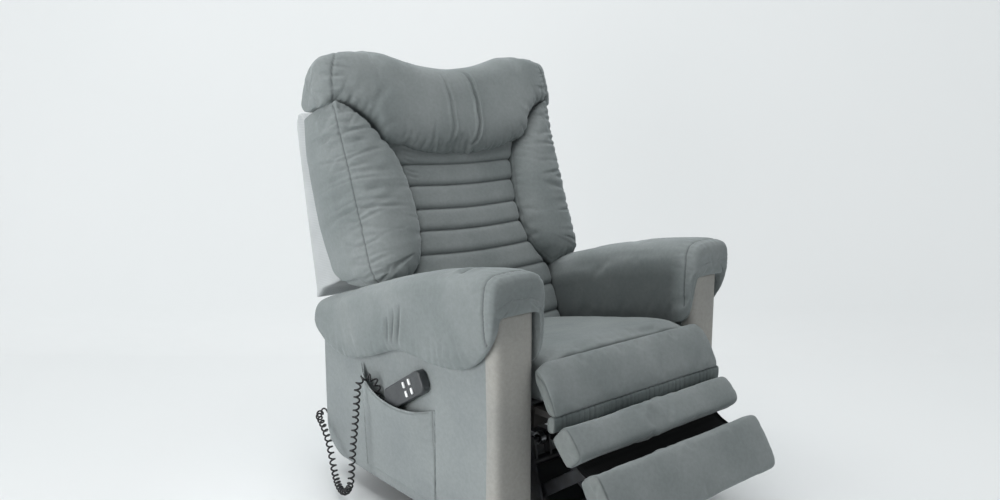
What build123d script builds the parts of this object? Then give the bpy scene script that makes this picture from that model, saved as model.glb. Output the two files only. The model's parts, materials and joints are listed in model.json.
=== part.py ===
from build123d import *
import os
from math import atan2, cos, degrees, hypot, pi, radians, sin

# Powered lift recliner chair.
# Frame of the source: X to the left arm, Y to the rear, Z up, millimetres.
# Y = 0 is the front face of the arm posts, Z = 0 the floor. The finished pieces are moved along Y
# at the end, so that the origin lies under the middle of the chair.
# At rest the seat is down, the back is upright and the footrest is part of the way out.

BOTTOM = (Align.CENTER, Align.CENTER, Align.MIN)

# ---------------------------------------------------------------- driving dimensions
SEAT_WIDTH = 525.0          # between the inner faces of the arms
ARM_WIDTH = 108.0           # wooden arm box, inner panel to outer panel
ARM_DEPTH = 732.0           # front of the post to the rear edge of the side panel
ARM_FRONT_TOP = 583.0       # top of the wooden arm box at the front
ARM_REAR_TOP = 420.0        # and at the rear
REAR_COVER = 8.0            # board that closes the chair behind
INNER_BOTTOM = 240.0        # lower edge of the inner panels, beside the seat's side rails
SIDE_BOTTOM = 65.0          # lower edge of the side panels
SIDE_CORNER_R = 80.0        # rear lower corner of the side panels
PANEL = 18.0                # wooden panels of the arm box
POST_THICK = 25.0           # upholstered front post
ARM_PAD_OVER = 25.0         # how far the arm pad rolls out past the side panel
ARM_PAD_IN = 12.0           # how far it rolls in over the seat
FABRIC_GAP = 1.0            # between two upholstered pieces
SEAT_GAP = 0.3              # between a soft piece and what carries it

SEAT_FRONT_TOP = 468.0      # seam along the front of the seat cushion
SEAT_REAR_TOP = 392.0       # seat cushion at its rear end
SEAT_REAR_Y = 498.0
SEAT_DECK_FRONT = 362.0     # springs at the front rail
SEAT_DECK_REAR = 326.0      # and at the rear rail
FRONT_PANEL_HALF = 276.0    # the seat front is wider than the gap between the arms
FRONT_BULGE = 74.0          # its most forward point, in front of the posts
SPRING_WIRE = 4.0
REAR_RAIL_TOP = 302.0       # its cleats carry the springs and leave room for the back actuator
ROD_GAP = 18.0
SKIRT_BOTTOM = 336.0
SKIRT_TOP = 366.0

BACK_LEAN = 20.0            # degrees from upright
BACK_FOOT_Y = 450.0         # front surface of the back at its foot
BACK_FOOT_Z = 400.0
LUMBAR_THICK = 100.0
LUMBAR_HALF = 178.0         # at its waist
LUMBAR_FOOT_HALF = 247.0
LUMBAR_TOP_HALF = 228.0
LUMBAR_TOP = 540.0          # along the back, from its foot
BOLSTER_BOTTOM = 186.0
BOLSTER_PROUD = 36.0        # in front of the lumbar pad
BOLSTER_OUT = 386.0
BOLSTER_REAR = 134.0
HEAD_TOP = 778.0            # crown of the two lobes, along the back
HEAD_DIP = 742.0            # between them
HEAD_PROUD = 50.0
HEAD_LOBE_X = 250.0
SHELL_HALF = BOLSTER_OUT - 26
SHELL_WALL = 8.0

TUBE = 25.0                 # square frame tube
TUBE_WALL = 2.0
PLATE = 5.0                 # steel links and plates
LAYER = 7.0                 # pitch of the link layers across the chair
PIN_R = 6.0
PIN_CLEARANCE = 0.06        # radial, in the eyes that turn
OPEN_CLEARANCE = 0.8        # radial, where the leg mechanism is left open
LINK_WIDTH = 26.0
BASE_RAIL_BOTTOM = 12.0
FOOT_R = 19.0

# Pivots, as (Y, Z). Lift linkage: two links a side between the base and the carrier.
LIFT_REAR_BASE = (260.0, 90.0)
LIFT_REAR_CARRIER = (680.0, 140.0)
LIFT_FRONT_BASE = (140.0, 55.0)
LIFT_FRONT_CARRIER = (306.7, 65.0)
LIFT_OPEN_CLEARANCE = 1.9   # radial, at the front link's upper pivot
LIFT_MOTOR_PIVOT = (600.0, 80.0)
LIFT_DRIVE = (269.6, 144.2)
FRONT_LINK_ARCH = [(-30, 9), (-9, 31), (14, 33), (38, 8)]   # over the torque tube, from its axis

# Leg linkage: a lazy tong of four links a side.
LEG_A = (94.4, 340.0)       # upper pivots on the carrier
LEG_B = (66.9, 304.8)
LEG_X = (28.3, 146.3)       # where links A and C cross
LEG_K = (-4.4, 101.6)       # lower pivot of links B and C
LEG_E = (100.0, 100.0)      # lower pivot of links A and D
LEG_G = (-109.1, 242.3)     # pivots on the footrest bracket
LEG_H = (-67.1, 215.8)
LEG_DRIVE = (71.5, 307.2)
LEG_MOTOR_PIVOT = (420.0, 240.0)
LEG_MOTOR_X = -110.0

# Footrest: each pad lies on its own board, given by its rear upper corner and its lean.
UPPER_PAD = dict(corner=(-66.0, 318.0), lean=42.0, length=66.0, thick=52.0)
LOWER_PAD = dict(corner=(-150.0, 252.0), lean=32.0, length=126.0, thick=54.0)
PAD_HALF = 273.0
BOARD_HALF = 250.0
BOARD_THICK = 12.0

# Recline.
RECLINE = (620.0, 440.0)
BACK_DRIVE = (669.1, 405.6)
BACK_MOTOR_PIVOT = (300.0, 215.0)
BACK_MOTOR_X = 135.0

# Linear actuators.
MOTOR_LENGTH = 128.0
MOTOR_WIDTH = 72.0
MOTOR_HEIGHT = 62.0
MOTOR_TUBE_R = 17.0
KNUCKLE = 18.0
ROD_R = 10.0
EYE_WALL = 5.0
DRIVE_R = 8.0

# Handset in its pocket on the side of the near arm.
HANDSET_LENGTH = 176.0
HANDSET_WIDTH = 55.0
HANDSET_THICK = 20.0
HANDSET_LOW_END = (392.0, 303.0)
HANDSET_TILT = 31.0
BUTTON_LENGTH = 15.0
BUTTON_WIDTH = 8.0
BUTTON_TRAVEL = 1.0
CORD_COIL_R = 9.5           # outside radius of the curly cord
CORD_END_R = 2.5            # plain cord at the two ends

CORD_GLAND = (-318.0, ARM_DEPTH + REAR_COVER, 160.0)
CORD_GLAND_LENGTH = 14.0

# ---------------------------------------------------------------- derived planes across the chair
ARM_IN = SEAT_WIDTH / 2
ARM_OUT = ARM_IN + ARM_WIDTH
PAD_IN = ARM_IN - ARM_PAD_IN
PAD_OUT = ARM_OUT + ARM_PAD_OVER
CARRIER_X = ARM_IN - 31.5                     # inner face of the carrier plate
LAYERS = {name: CARRIER_X + k * LAYER
          for name, k in dict(bracket=-4, d=-3, c=-2, a=-1, carrier=0, b=1, lift=2, base=3).items()}


# ---------------------------------------------------------------- small tools
def block(x, y, z):
    """Rectangular solid between pairs of limits."""
    size = Box(x[1] - x[0], y[1] - y[0], z[1] - z[0], align=(Align.MIN, Align.MIN, Align.MIN))
    return Pos(x[0], y[0], z[0]) * size


def side_face(points):
    """Face in the YZ plane from (y, z) points."""
    return make_face(Plane.YZ * Polyline(*points, close=True))


def across(face, x0, x1):
    """A YZ face extruded across the chair from x0 to x1."""
    return Pos(x0, 0, 0) * extrude(face, x1 - x0, dir=(1, 0, 0))


def disc(point, radius, x0, x1):
    """Round solid along X about a (y, z) point."""
    return across(Plane.YZ * Pos(*point) * Circle(radius), x0, x1)


def strap(a, b, width, x0, x1):
    """Flat link with round ends between two (y, z) points."""
    length = hypot(b[0] - a[0], b[1] - a[1])
    turn = degrees(atan2(b[1] - a[1], b[0] - a[0]))
    middle = Pos((a[0] + b[0]) / 2, (a[1] + b[1]) / 2)
    return across(Plane.YZ * middle * Rot(0, 0, turn) * SlotCenterToCenter(length, width), x0, x1)


def both_sides(solid):
    """The solid and its mirror image on the other side of the chair."""
    return [solid, mirror(solid, Plane.YZ)]


def square_tube(x, y, z, along):
    """Hollow rectangular tube filling the given limits, open at both ends."""
    outer = block(x, y, z)
    inner = [(a + TUBE_WALL, b - TUBE_WALL) for a, b in (x, y, z)]
    index = "XYZ".index(along)
    inner[index] = ((x, y, z)[index][0] - 1, (x, y, z)[index][1] + 1)
    return outer - block(*inner)


def pipe_x(point, radius, wall, x0, x1):
    """Round tube along X."""
    return disc(point, radius, x0, x1) - disc(point, radius - wall, x0 - 1, x1 + 1)


def back_point(u, v):
    """(y, z) of a point u up the back from its foot and v behind its front surface."""
    lean = radians(BACK_LEAN)
    return (BACK_FOOT_Y + u * sin(lean) + v * cos(lean),
            BACK_FOOT_Z + u * cos(lean) - v * sin(lean))


def back_plane(v):
    """Plane parallel to the back's front surface, v behind it; local x is X, local y runs up."""
    y, z = back_point(0, v)
    lean = radians(BACK_LEAN)
    return Plane(origin=(0, y, z), x_dir=(1, 0, 0), z_dir=(0, -cos(lean), sin(lean)))


def back_slab(points, v0, v1):
    """Outline in (x, u) turned into a slab of the back between depths v0 and v1."""
    return extrude(make_face(back_plane(v1) * Polyline(*points, close=True)), v1 - v0)


def arm_box_top(y):
    """Height of the wooden arm box at y."""
    return ARM_FRONT_TOP + (ARM_REAR_TOP - ARM_FRONT_TOP) * y / ARM_DEPTH


# ---------------------------------------------------------------- base
def make_base():
    """Floor frame with the brackets that carry the lift links."""
    rail_x = (LAYERS["base"] - 13, LAYERS["base"] + 12)
    rail_z = (BASE_RAIL_BOTTOM, BASE_RAIL_BOTTOM + TUBE)
    rail_y = (60.0, 690.0)
    rail = square_tube(rail_x, rail_y, rail_z, "Y")
    cross = [square_tube((-rail_x[0], rail_x[0]), (y, y + TUBE), rail_z, "X") for y in (100.0, 610.0)]
    top = rail_z[1]
    x0, x1 = LAYERS["base"], LAYERS["base"] + PLATE
    outline = [(110, top), (320, top), (278, 98), (242, 98), (175, 66), (156, 68), (124, 68)]
    bracket = across(side_face(outline), x0, x1) + disc(LIFT_REAR_BASE, 18, x0, x1)
    bracket += disc(LIFT_FRONT_BASE, 16, x0, x1)
    bracket -= block((x0 - 1, x1 + 1), (90, 330), (0, top))
    for pivot in (LIFT_REAR_BASE, LIFT_FRONT_BASE):
        bracket -= disc(pivot, PIN_R, x0 - 1, x1 + 1)
    pins = []
    for pivot in (LIFT_REAR_BASE, LIFT_FRONT_BASE):
        inner = LAYERS["lift"] if pivot is LIFT_REAR_BASE else LAYERS["b"]
        pin = disc(pivot, PIN_R, inner - 1, x1 + 2) + disc(pivot, 10, x1, x1 + 3)
        pins += both_sides(pin)
    lug_y, lug_z = LIFT_MOTOR_PIVOT
    lug = across(side_face([(610, top), (635, top), (lug_y + 12, lug_z + 8), (lug_y - 8, lug_z + 10),
                            (lug_y - 9, lug_z - 9)]), 10, 14)
    lug -= disc(LIFT_MOTOR_PIVOT, PIN_R - 1, 9, 15)
    lug_pin = disc(LIFT_MOTOR_PIVOT, PIN_R - 1, -17, 17)
    lugs = both_sides(lug)
    feet = []
    for y in (95.0, 655.0):
        foot = Pos((rail_x[0] + rail_x[1]) / 2, y, 0) * Cylinder(FOOT_R, BASE_RAIL_BOTTOM, align=BOTTOM)
        feet += both_sides(chamfer(foot.edges().group_by(Axis.Z)[0], 2))
    return dict(base_frame=both_sides(rail) + cross,
                base_brackets=both_sides(bracket) + lugs, base_pins=pins + [lug_pin], base_feet=feet)




def make_lift_links():
    """Long rear links with their torque tube, and the short front links."""
    x0, x1 = LAYERS["lift"], LAYERS["lift"] + PLATE
    rear = strap(LIFT_REAR_BASE, LIFT_REAR_CARRIER, LINK_WIDTH + 6, x0, x1)
    for pivot in (LIFT_REAR_BASE, LIFT_REAR_CARRIER):
        rear -= disc(pivot, PIN_R + PIN_CLEARANCE, x0 - 1, x1 + 1)
    f0, f1 = LAYERS["b"], LAYERS["b"] + PLATE
    arch = [(LIFT_REAR_BASE[0] + dy, LIFT_REAR_BASE[1] + dz) for dy, dz in FRONT_LINK_ARCH]
    knees = [LIFT_FRONT_BASE] + arch + [LIFT_FRONT_CARRIER]
    front = strap(knees[0], knees[1], LINK_WIDTH, f0, f1)
    for start, end in zip(knees[1:], knees[2:]):
        front += strap(start, end, LINK_WIDTH, f0, f1)
    front -= disc(LIFT_FRONT_BASE, PIN_R + PIN_CLEARANCE, f0 - 1, f1 + 1)
    front -= disc(LIFT_FRONT_CARRIER, PIN_R + LIFT_OPEN_CLEARANCE, f0 - 1, f1 + 1)
    tube = pipe_x(LIFT_REAR_BASE, 13, 3, -x0, x0)
    tube += drive_arm(LIFT_REAR_BASE, LIFT_DRIVE, 0.0, 13)
    return dict(rear_links=both_sides(rear), front_links=both_sides(front), lift_torque_tube=[tube])


def drive_arm(centre, drive, x, tube_r):
    """Two lugs from a torque tube that hold the bar which an actuator pushes."""
    arm = disc(drive, DRIVE_R, x - 28, x + 28)
    for x0 in (x - 28, x + 22):
        lug = strap(centre, drive, 22, x0, x0 + 6) - disc(centre, tube_r - 1, x0 - 1, x0 + 7)
        arm += lug
    return arm


# ---------------------------------------------------------------- actuators
def actuator(pivot, drive, x, clearance, reach):
    """Motor housing with its outer tube, and the rod that ends in an open eye round the drive bar."""
    length = hypot(drive[0] - pivot[0], drive[1] - pivot[1])
    turn = degrees(atan2(drive[1] - pivot[1], drive[0] - pivot[0]))
    place = Pos(x, *pivot) * Rot(turn, 0, 0)
    body = Box(MOTOR_WIDTH, MOTOR_LENGTH, MOTOR_HEIGHT, align=(Align.CENTER, Align.MIN, Align.CENTER))
    body = fillet(body.edges().filter_by(Axis.Y), 14)
    body = Pos(0, 22, 0) * fillet(body.edges().group_by(Axis.Y)[-1], 6)
    knuckle = Pos(0, 11, 0) * Box(KNUCKLE, 24, 18) + Rot(0, 90, 0) * Cylinder(9, KNUCKLE)
    knuckle -= Rot(0, 90, 0) * Cylinder(PIN_R - 1 + PIN_CLEARANCE, KNUCKLE + 2)
    tube_end = reach * length
    tube = Pos(0, tube_end, 0) * Rot(90, 0, 0) * Cylinder(MOTOR_TUBE_R, tube_end - 40, align=BOTTOM)
    bore = Pos(0, tube_end + 1, 0) * Rot(90, 0, 0) * Cylinder(ROD_R + 0.4, tube_end - 59, align=BOTTOM)
    collar = Pos(0, 22 + MOTOR_LENGTH + 14, 0) * Rot(90, 0, 0) * Cylinder(24, 16, align=BOTTOM)
    motor = body + knuckle + tube + collar - bore
    eye_r = DRIVE_R + clearance
    rod_start = length - eye_r - 1
    rod = Pos(0, rod_start, 0) * Rot(90, 0, 0) * Cylinder(ROD_R, rod_start - tube_end + 60, align=BOTTOM)
    eye = Rot(0, 90, 0) * Cylinder(eye_r + EYE_WALL, 2 * ROD_R - 4)
    rod = rod + Pos(0, length, 0) * eye - Pos(0, length, 0) * Rot(0, 90, 0) * Cylinder(eye_r, 2 * ROD_R + 2)
    return place * motor, place * rod


# ---------------------------------------------------------------- carrier and seat frame
def make_carrier():
    """Steel carrier that the links lift, with the seat frame, its springs and its pivots."""
    x0, x1 = LAYERS["carrier"], LAYERS["carrier"] + PLATE
    rail_low, rail_high = 268.0, 293.0
    outline = [(290, 52), (324, 52), (340, 100), (400, 215), (560, 225), (650, 128), (700, 122),
               (706, 165), (650, 262), (624, 345), (621, 402), (646, 436), (584, 428), (570, 300),
               (420, rail_high),
               (120, rail_high), (118, 352), (74, 352), (50, 300), (60, 272), (280, 240)]
    plate = across(side_face(outline), x0, x1) + disc(RECLINE, 26, x0, x1)
    for pivot in (RECLINE, LIFT_REAR_CARRIER, LIFT_FRONT_CARRIER, LEG_A, LEG_B):
        plate -= disc(pivot, PIN_R, x0 - 1, x1 + 1)
    plate -= across(side_face([(330, 180), (345, 180), (375, 228), (368, 240), (330, 240)]), x0 - 1, x1 + 1)
    cross = [pipe_x((278, 197), 12.7, 2, -x0, x0), pipe_x((446, 226), 12.7, 2, -x0, x0)]
    lugs = []
    for (y, z), x, foot in ((BACK_MOTOR_PIVOT, BACK_MOTOR_X, (278, 197)),
                            (LEG_MOTOR_PIVOT, LEG_MOTOR_X, (446, 226))):
        for side in (-1, 1):
            lug_x = x + side * 12 - 2
            lug = strap((y, z), foot, 18, lug_x, lug_x + 4) - disc(foot, 12.7, lug_x - 1, lug_x + 5)
            lugs.append(lug - disc((y, z), PIN_R - 1, lug_x - 1, lug_x + 5))
    pins = []
    rear_pin = disc(LIFT_REAR_CARRIER, PIN_R, x0 - 2, LAYERS["lift"] + PLATE + 1)
    rear_pin += disc(LIFT_REAR_CARRIER, 10, x0 - 3, x0) + disc(LIFT_REAR_CARRIER, 9, x1, LAYERS["lift"] - 0.5)
    front_pin = disc(LIFT_FRONT_CARRIER, PIN_R, x0 - 2, LAYERS["b"] + PLATE + 1)
    pins += both_sides(rear_pin) + both_sides(front_pin + disc(LIFT_FRONT_CARRIER, 10, x0 - 3, x0))
    pins += both_sides(disc(LEG_A, PIN_R, LAYERS["a"] - 0.5, x1 + 2) + disc(LEG_A, 10, x1, x1 + 3))
    pins += both_sides(disc(LEG_B, PIN_R, x0, LAYERS["b"] + PLATE + 1))
    pins += both_sides(disc(RECLINE, PIN_R, x0 - 2, LAYERS["b"] + PLATE + 1)
                       + disc(RECLINE, 10, x0 - 3, x0))
    pins += [disc((y, z), PIN_R - 1, x - 17, x + 17)
             for (y, z), x in ((BACK_MOTOR_PIVOT, BACK_MOTOR_X), (LEG_MOTOR_PIVOT, LEG_MOTOR_X))]
    side_x = (x1, ARM_IN)
    front_x = (-ARM_IN + SEAT_GAP, ARM_IN - SEAT_GAP)
    side_rail = square_tube(side_x, (130, 560), (rail_low, rail_high), "Y")
    front_y, rear_y = (4.0, 26.0), (SEAT_REAR_Y + 8, SEAT_REAR_Y + 30)
    front_rail = block(front_x, front_y, (SKIRT_BOTTOM - 16, deck_height(front_y[1]) - 0.2))
    rear_rail = block((-x0, x0), rear_y, (290, REAR_RAIL_TOP))
    cleat_z = (REAR_RAIL_TOP, deck_height(rear_y[1]) - 0.2)
    cleats = [block((-x0, BACK_MOTOR_X - ROD_GAP), rear_y, cleat_z),
              block((BACK_MOTOR_X + ROD_GAP, x0), rear_y, cleat_z)]
    springs = [sinuous_spring(x) for x in (-180, -90, 0, 90, 180)]
    box_shelf = block((-x0, x0), (545, 595), (215, 218))
    front_board = block(front_x, (-FRONT_BULGE + 17, 3.5), (SKIRT_TOP - 14, SKIRT_TOP))
    return dict(carrier_frame=both_sides(plate) + cross + lugs + [box_shelf], carrier_pins=pins,
                seat_rails=both_sides(side_rail) + [front_rail, rear_rail, front_board] + cleats,
                seat_springs=springs)


def deck_height(y):
    """Height of the underside of the seat springs at y."""
    return SEAT_DECK_FRONT + (SEAT_DECK_REAR - SEAT_DECK_FRONT) * y / (SEAT_REAR_Y + 30)


def sinuous_spring(x):
    """Zigzag seat spring from the front rail to the rear rail, bent from flat-lying wire."""
    pitch, swing = 44.0, 22.0
    y0, y1 = 8.0, SEAT_REAR_Y + 26
    count = int((y1 - y0) / pitch)
    step = (y1 - y0) / count
    points = [(x, y0)]
    for i in range(count):
        side = swing if i % 2 else -swing
        points += [(x + side, y0 + i * step + 8), (x + side, y0 + (i + 1) * step - 8)]
    points.append((x, y1))
    path = FilletPolyline(*points, radius=7)
    slope = degrees(atan2(deck_height(y1) - deck_height(y0), y1 - y0))
    flat = extrude(trace(path, SPRING_WIRE), SPRING_WIRE)
    return Pos(0, y0, deck_height(y0)) * Rot(slope, 0, 0) * Pos(0, -y0, 0) * flat


# ---------------------------------------------------------------- seat
def make_seat():
    """Seat cushion, the bulging front panel and the gathered strip under it."""
    half = PAD_IN - FABRIC_GAP
    under = SPRING_WIRE + SEAT_GAP
    top = [(-6, deck_height(-6) + under), (-14, 430), (-6, SEAT_FRONT_TOP - 8), (12, SEAT_FRONT_TOP + 4),
           (90, SEAT_FRONT_TOP - 2), (300, 427), (SEAT_REAR_Y - 14, SEAT_REAR_TOP + 2),
           (SEAT_REAR_Y, SEAT_REAR_TOP - 14), (SEAT_REAR_Y, deck_height(SEAT_REAR_Y) + under)]
    cushion = across(side_face(top), -half, half)
    front = [(-17, SEAT_FRONT_TOP - 2), (-30, 457), (-48, 430), (-66, 395), (-FRONT_BULGE, 374),
             (-FRONT_BULGE + 4, SKIRT_TOP + SEAT_GAP), (-26, SKIRT_TOP + SEAT_GAP), (-17, 430)]
    panel = across(side_face(front), -FRONT_PANEL_HALF, FRONT_PANEL_HALF)
    skirt = across(side_face([(-FRONT_BULGE + 1, SKIRT_TOP), (-FRONT_BULGE - 1, SKIRT_BOTTOM),
                              (-FRONT_BULGE + 14, SKIRT_BOTTOM + 2), (-FRONT_BULGE + 16, SKIRT_TOP)]),
                   -FRONT_PANEL_HALF, FRONT_PANEL_HALF)
    return dict(seat_cushion=[cushion], seat_front_panel=[panel], seat_skirt=[skirt])


# ---------------------------------------------------------------- arms
def make_arm(side):
    """One arm: panels, front post and pad. Side is -1 for the handset side, 1 for the other."""
    def place(x0, x1):
        return (x0, x1) if side > 0 else (-x1, -x0)

    front_y = POST_THICK
    outline = [(front_y, SIDE_BOTTOM), (ARM_DEPTH, SIDE_BOTTOM), (ARM_DEPTH, arm_box_top(ARM_DEPTH)),
               (front_y, arm_box_top(front_y))]
    outer = across(side_face(outline), *place(ARM_OUT - PANEL, ARM_OUT))
    lower_rear = outer.edges().filter_by(Axis.X).sort_by(lambda e: e.center().Y - e.center().Z)[-1]
    outer = fillet(lower_rear, SIDE_CORNER_R)
    inner_outline = [(front_y, INNER_BOTTOM), (560, INNER_BOTTOM), (ARM_DEPTH - 20, 380),
                     (ARM_DEPTH - 20, arm_box_top(ARM_DEPTH - 20)), (front_y, arm_box_top(front_y))]
    inner = across(side_face(inner_outline), *place(ARM_IN, ARM_IN + PANEL))
    post = block(place(ARM_IN + 1.5, ARM_OUT - 2), (0, POST_THICK), (SIDE_BOTTOM, arm_box_top(POST_THICK)))
    post = fillet(post.edges().filter_by(Axis.Z).group_by(Axis.Y)[0], 8)
    stretcher = block(place(ARM_IN + PANEL, ARM_OUT - PANEL),
                      (front_y, front_y + 30), (110, 150))
    rear_block = block(place(ARM_IN + PANEL, ARM_OUT - PANEL),
                       (ARM_DEPTH - 60, ARM_DEPTH - 24), (150, ARM_REAR_TOP - 2))
    crown = [(-14, 575), (-16, 620), (2, 658), (30, 672), (120, 656), (260, 625), (370, 600),
             (500, 560), (600, 528), (680, 502), (725, 478), (746, 448)]
    seat_on = [(ARM_DEPTH + 2, arm_box_top(ARM_DEPTH) + 1), (-1, arm_box_top(-1) + 1)]
    hem = [(684, 400), (591, 372), (545, 384), (439, 420), (366, 444), (300, 452), (203, 450), (129, 454),
           (59, 470), (25, 492), (-8, 534)]
    pad = across(side_face(crown + seat_on), *place(PAD_IN, ARM_OUT + FABRIC_GAP))
    pad += across(side_face(crown + hem), *place(ARM_OUT + FABRIC_GAP, PAD_OUT))
    flap = [(-12, 470), (-14, 575), (2, 640), (260, 610), (500, 545), (520, 470), (520, 372), (480, 366),
            (300, 408), (40, 452)]
    pad += across(side_face(flap), *place(PAD_IN, ARM_IN - FABRIC_GAP))
    name = "right" if side < 0 else "left"
    nodes = {f"arm_outer_panel_{name}": [outer], f"arm_inner_panel_{name}": [inner],
             f"arm_post_{name}": [post], f"arm_pad_{name}": [pad]}
    return nodes, [stretcher, rear_block]


def make_rear_cover():
    """Panel that closes the back of the chair under the backrest."""
    cover = block((-ARM_OUT + 6, ARM_OUT - 6), (ARM_DEPTH, ARM_DEPTH + REAR_COVER), (80, 330))
    return fillet(cover.edges().filter_by(Axis.Y), 20)


# ---------------------------------------------------------------- backrest
def make_back():
    """Frame, brackets, shell and the upholstered pieces of the back."""
    waist = [(LUMBAR_FOOT_HALF, 14), (LUMBAR_FOOT_HALF, 130), (LUMBAR_HALF + 54, 172), (LUMBAR_HALF + 16, 232),
             (LUMBAR_HALF, 296), (LUMBAR_HALF, 355), (LUMBAR_HALF + 10, 420), (LUMBAR_HALF + 22, 479),
             (LUMBAR_TOP_HALF, LUMBAR_TOP)]
    outline = waist + [(-x, u) for x, u in reversed(waist)]
    lumbar = back_slab(outline, 0, LUMBAR_THICK)
    gap = FABRIC_GAP * 2
    inner_edge = [(LUMBAR_HALF + 54 + gap, BOLSTER_BOTTOM)]
    inner_edge += [(x + gap, u) for x, u in waist if BOLSTER_BOTTOM < u]
    inner_edge += [(LUMBAR_TOP_HALF + 40, 600), (300, 640)]
    outer_edge = [(BOLSTER_OUT - 20, 640), (BOLSTER_OUT, 560), (BOLSTER_OUT, 240),
                  (BOLSTER_OUT - 30, BOLSTER_BOTTOM)]
    bolster = back_slab(inner_edge + outer_edge, -BOLSTER_PROUD, LUMBAR_THICK)
    clear = LAYERS["b"] + PLATE + 4
    rear_edge = [(clear, 236), (clear, 560), (LUMBAR_TOP_HALF + 42, 600), (300, 640)]
    bolster += back_slab(rear_edge + outer_edge[:-1], LUMBAR_THICK - 1, BOLSTER_REAR)
    gap_top = 3.0
    half_head = [(0, HEAD_DIP), (120, HEAD_DIP + 12), (HEAD_LOBE_X - 50, HEAD_TOP - 4),
                 (HEAD_LOBE_X + 30, HEAD_TOP - 4), (350, HEAD_TOP - 36), (BOLSTER_OUT - 4, HEAD_TOP - 90),
                 (BOLSTER_OUT - 4, 660), (BOLSTER_OUT - 20, 640 + gap_top), (300 - 2, 640 + gap_top),
                 (LUMBAR_TOP_HALF + 36, 602 + gap_top), (LUMBAR_TOP_HALF + 2, LUMBAR_TOP + gap_top)]
    head_outline = half_head + [(-x, u) for x, u in reversed(half_head[1:])]
    head = back_slab(head_outline, -HEAD_PROUD, LUMBAR_THICK)
    tube_v = (LUMBAR_THICK + SEAT_GAP, LUMBAR_THICK + SEAT_GAP + TUBE)
    upright_x = (CARRIER_X - 2 - TUBE, CARRIER_X - 2)
    upright = back_slab([(upright_x[0], 96), (upright_x[1], 96), (upright_x[1], 690), (upright_x[0], 690)],
                        *tube_v)
    rails = [back_slab([(-upright_x[0], u), (upright_x[0], u), (upright_x[0], u + TUBE),
                        (-upright_x[0], u + TUBE)], *tube_v) for u in (110, 380, 650)]
    x0, x1 = LAYERS["b"], LAYERS["b"] + PLATE
    low = back_point(98, LUMBAR_THICK + 14)
    high = back_point(250, LUMBAR_THICK + 14)
    bracket = strap(low, high, 24, x0, x1) + strap(RECLINE, BACK_DRIVE, 26, x0, x1)
    bracket += across(side_face([low, high, back_point(240, LUMBAR_THICK + 26), (646, 452),
                                 (RECLINE[0] - 6, RECLINE[1] - 12)]), x0, x1)
    bracket += disc(RECLINE, 20, x0, x1)
    bracket += strap(back_point(185, LUMBAR_THICK + 14), high, 22, upright_x[1], x0)
    bracket -= disc(RECLINE, PIN_R + PIN_CLEARANCE, x0 - 1, x1 + 1)
    bracket -= disc(BACK_DRIVE, DRIVE_R - 2, x0 - 1, x1 + 1)
    drive = disc(BACK_DRIVE, DRIVE_R, -x0, x0) + disc(BACK_DRIVE, DRIVE_R - 2, -x1, x1)
    return dict(lumbar_pad=[lumbar], bolster_left=[bolster], bolster_right=[mirror(bolster, Plane.YZ)],
                headrest=[head], back_frame=both_sides(upright) + rails, back_brackets=both_sides(bracket),
                back_drive_bar=[drive], back_shell=[make_shell()])


def make_shell():
    """Outer back: a shallow tray, open to the front, that hangs behind the frame."""
    front = [back_point(u, BOLSTER_REAR + SEAT_GAP) for u in (640, 560, 400, 250)]
    rear = [(672, 568), (705, 556), (745, 540), (765, 500), (776, 485), (788, 485), (870, 940), (866, 970),
            (846, 985)]
    solid = across(side_face(front + rear), -SHELL_HALF, SHELL_HALF)
    front_in = [back_point(u, BOLSTER_REAR - 1) for u in (640, 560, 400, 250)]
    rear_in = [(640, 480), (774, 480), (779, 520), (862 - SHELL_WALL, 936), (856 - SHELL_WALL, 960),
               (840 - SHELL_WALL, 972)]
    core = across(side_face(front_in + rear_in), -SHELL_HALF + SHELL_WALL, SHELL_HALF - SHELL_WALL)
    return solid - core


# ---------------------------------------------------------------- footrest
def make_leg_links():
    """Lazy tong under the seat: links A to D on each side, riveted where they turn."""
    def link(layer, a, b, c, eyes):
        x0, x1 = LAYERS[layer], LAYERS[layer] + PLATE
        plate = strap(a, b, LINK_WIDTH, x0, x1)
        if c:
            plate += strap(b, c, LINK_WIDTH, x0, x1)
        for point, radius in eyes:
            plate -= disc(point, radius, x0 - 1, x1 + 1)
        return plate

    turning = PIN_R + PIN_CLEARANCE
    loose = PIN_R + OPEN_CLEARANCE
    thin = 0.7
    a = link("a", LEG_A, LEG_X, LEG_E, [(LEG_A, turning)])
    a += disc(LEG_X, PIN_R, LAYERS["c"] - 1, LAYERS["a"] + 1)
    a += disc(LEG_E, PIN_R, LAYERS["d"] - 1, LAYERS["a"] + 1)
    b = link("b", LEG_B, LEG_K, None, [(LEG_B, turning)])
    b += disc(LEG_K, PIN_R, LAYERS["c"] - 1, LAYERS["b"] + 1)
    c = link("c", LEG_K, LEG_X, LEG_G, [(LEG_K, loose), (LEG_X, turning)])
    c += disc(LEG_G, PIN_R, LAYERS["bracket"] - thin, LAYERS["c"] + 1)
    d = link("d", LEG_E, LEG_H, None, [(LEG_E, turning)])
    d += disc(LEG_H, PIN_R, LAYERS["bracket"] - thin, LAYERS["d"] + 1)
    tube = pipe_x(LEG_A, 10.5, 3, -LAYERS["a"], LAYERS["a"]) + drive_arm(LEG_A, LEG_DRIVE, LEG_MOTOR_X, 10.5)
    return dict(leg_link_a=both_sides(a), leg_link_b=both_sides(b), leg_link_c=both_sides(c),
                leg_link_d=both_sides(d), leg_torque_tube=[tube])


def pad_point(pad, down, out):
    """(y, z) of a point down the board from the pad's corner and out to the front."""
    lean = radians(pad["lean"])
    y, z = pad["corner"]
    return (y - down * sin(lean) - out * cos(lean), z - down * cos(lean) + out * sin(lean))


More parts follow.
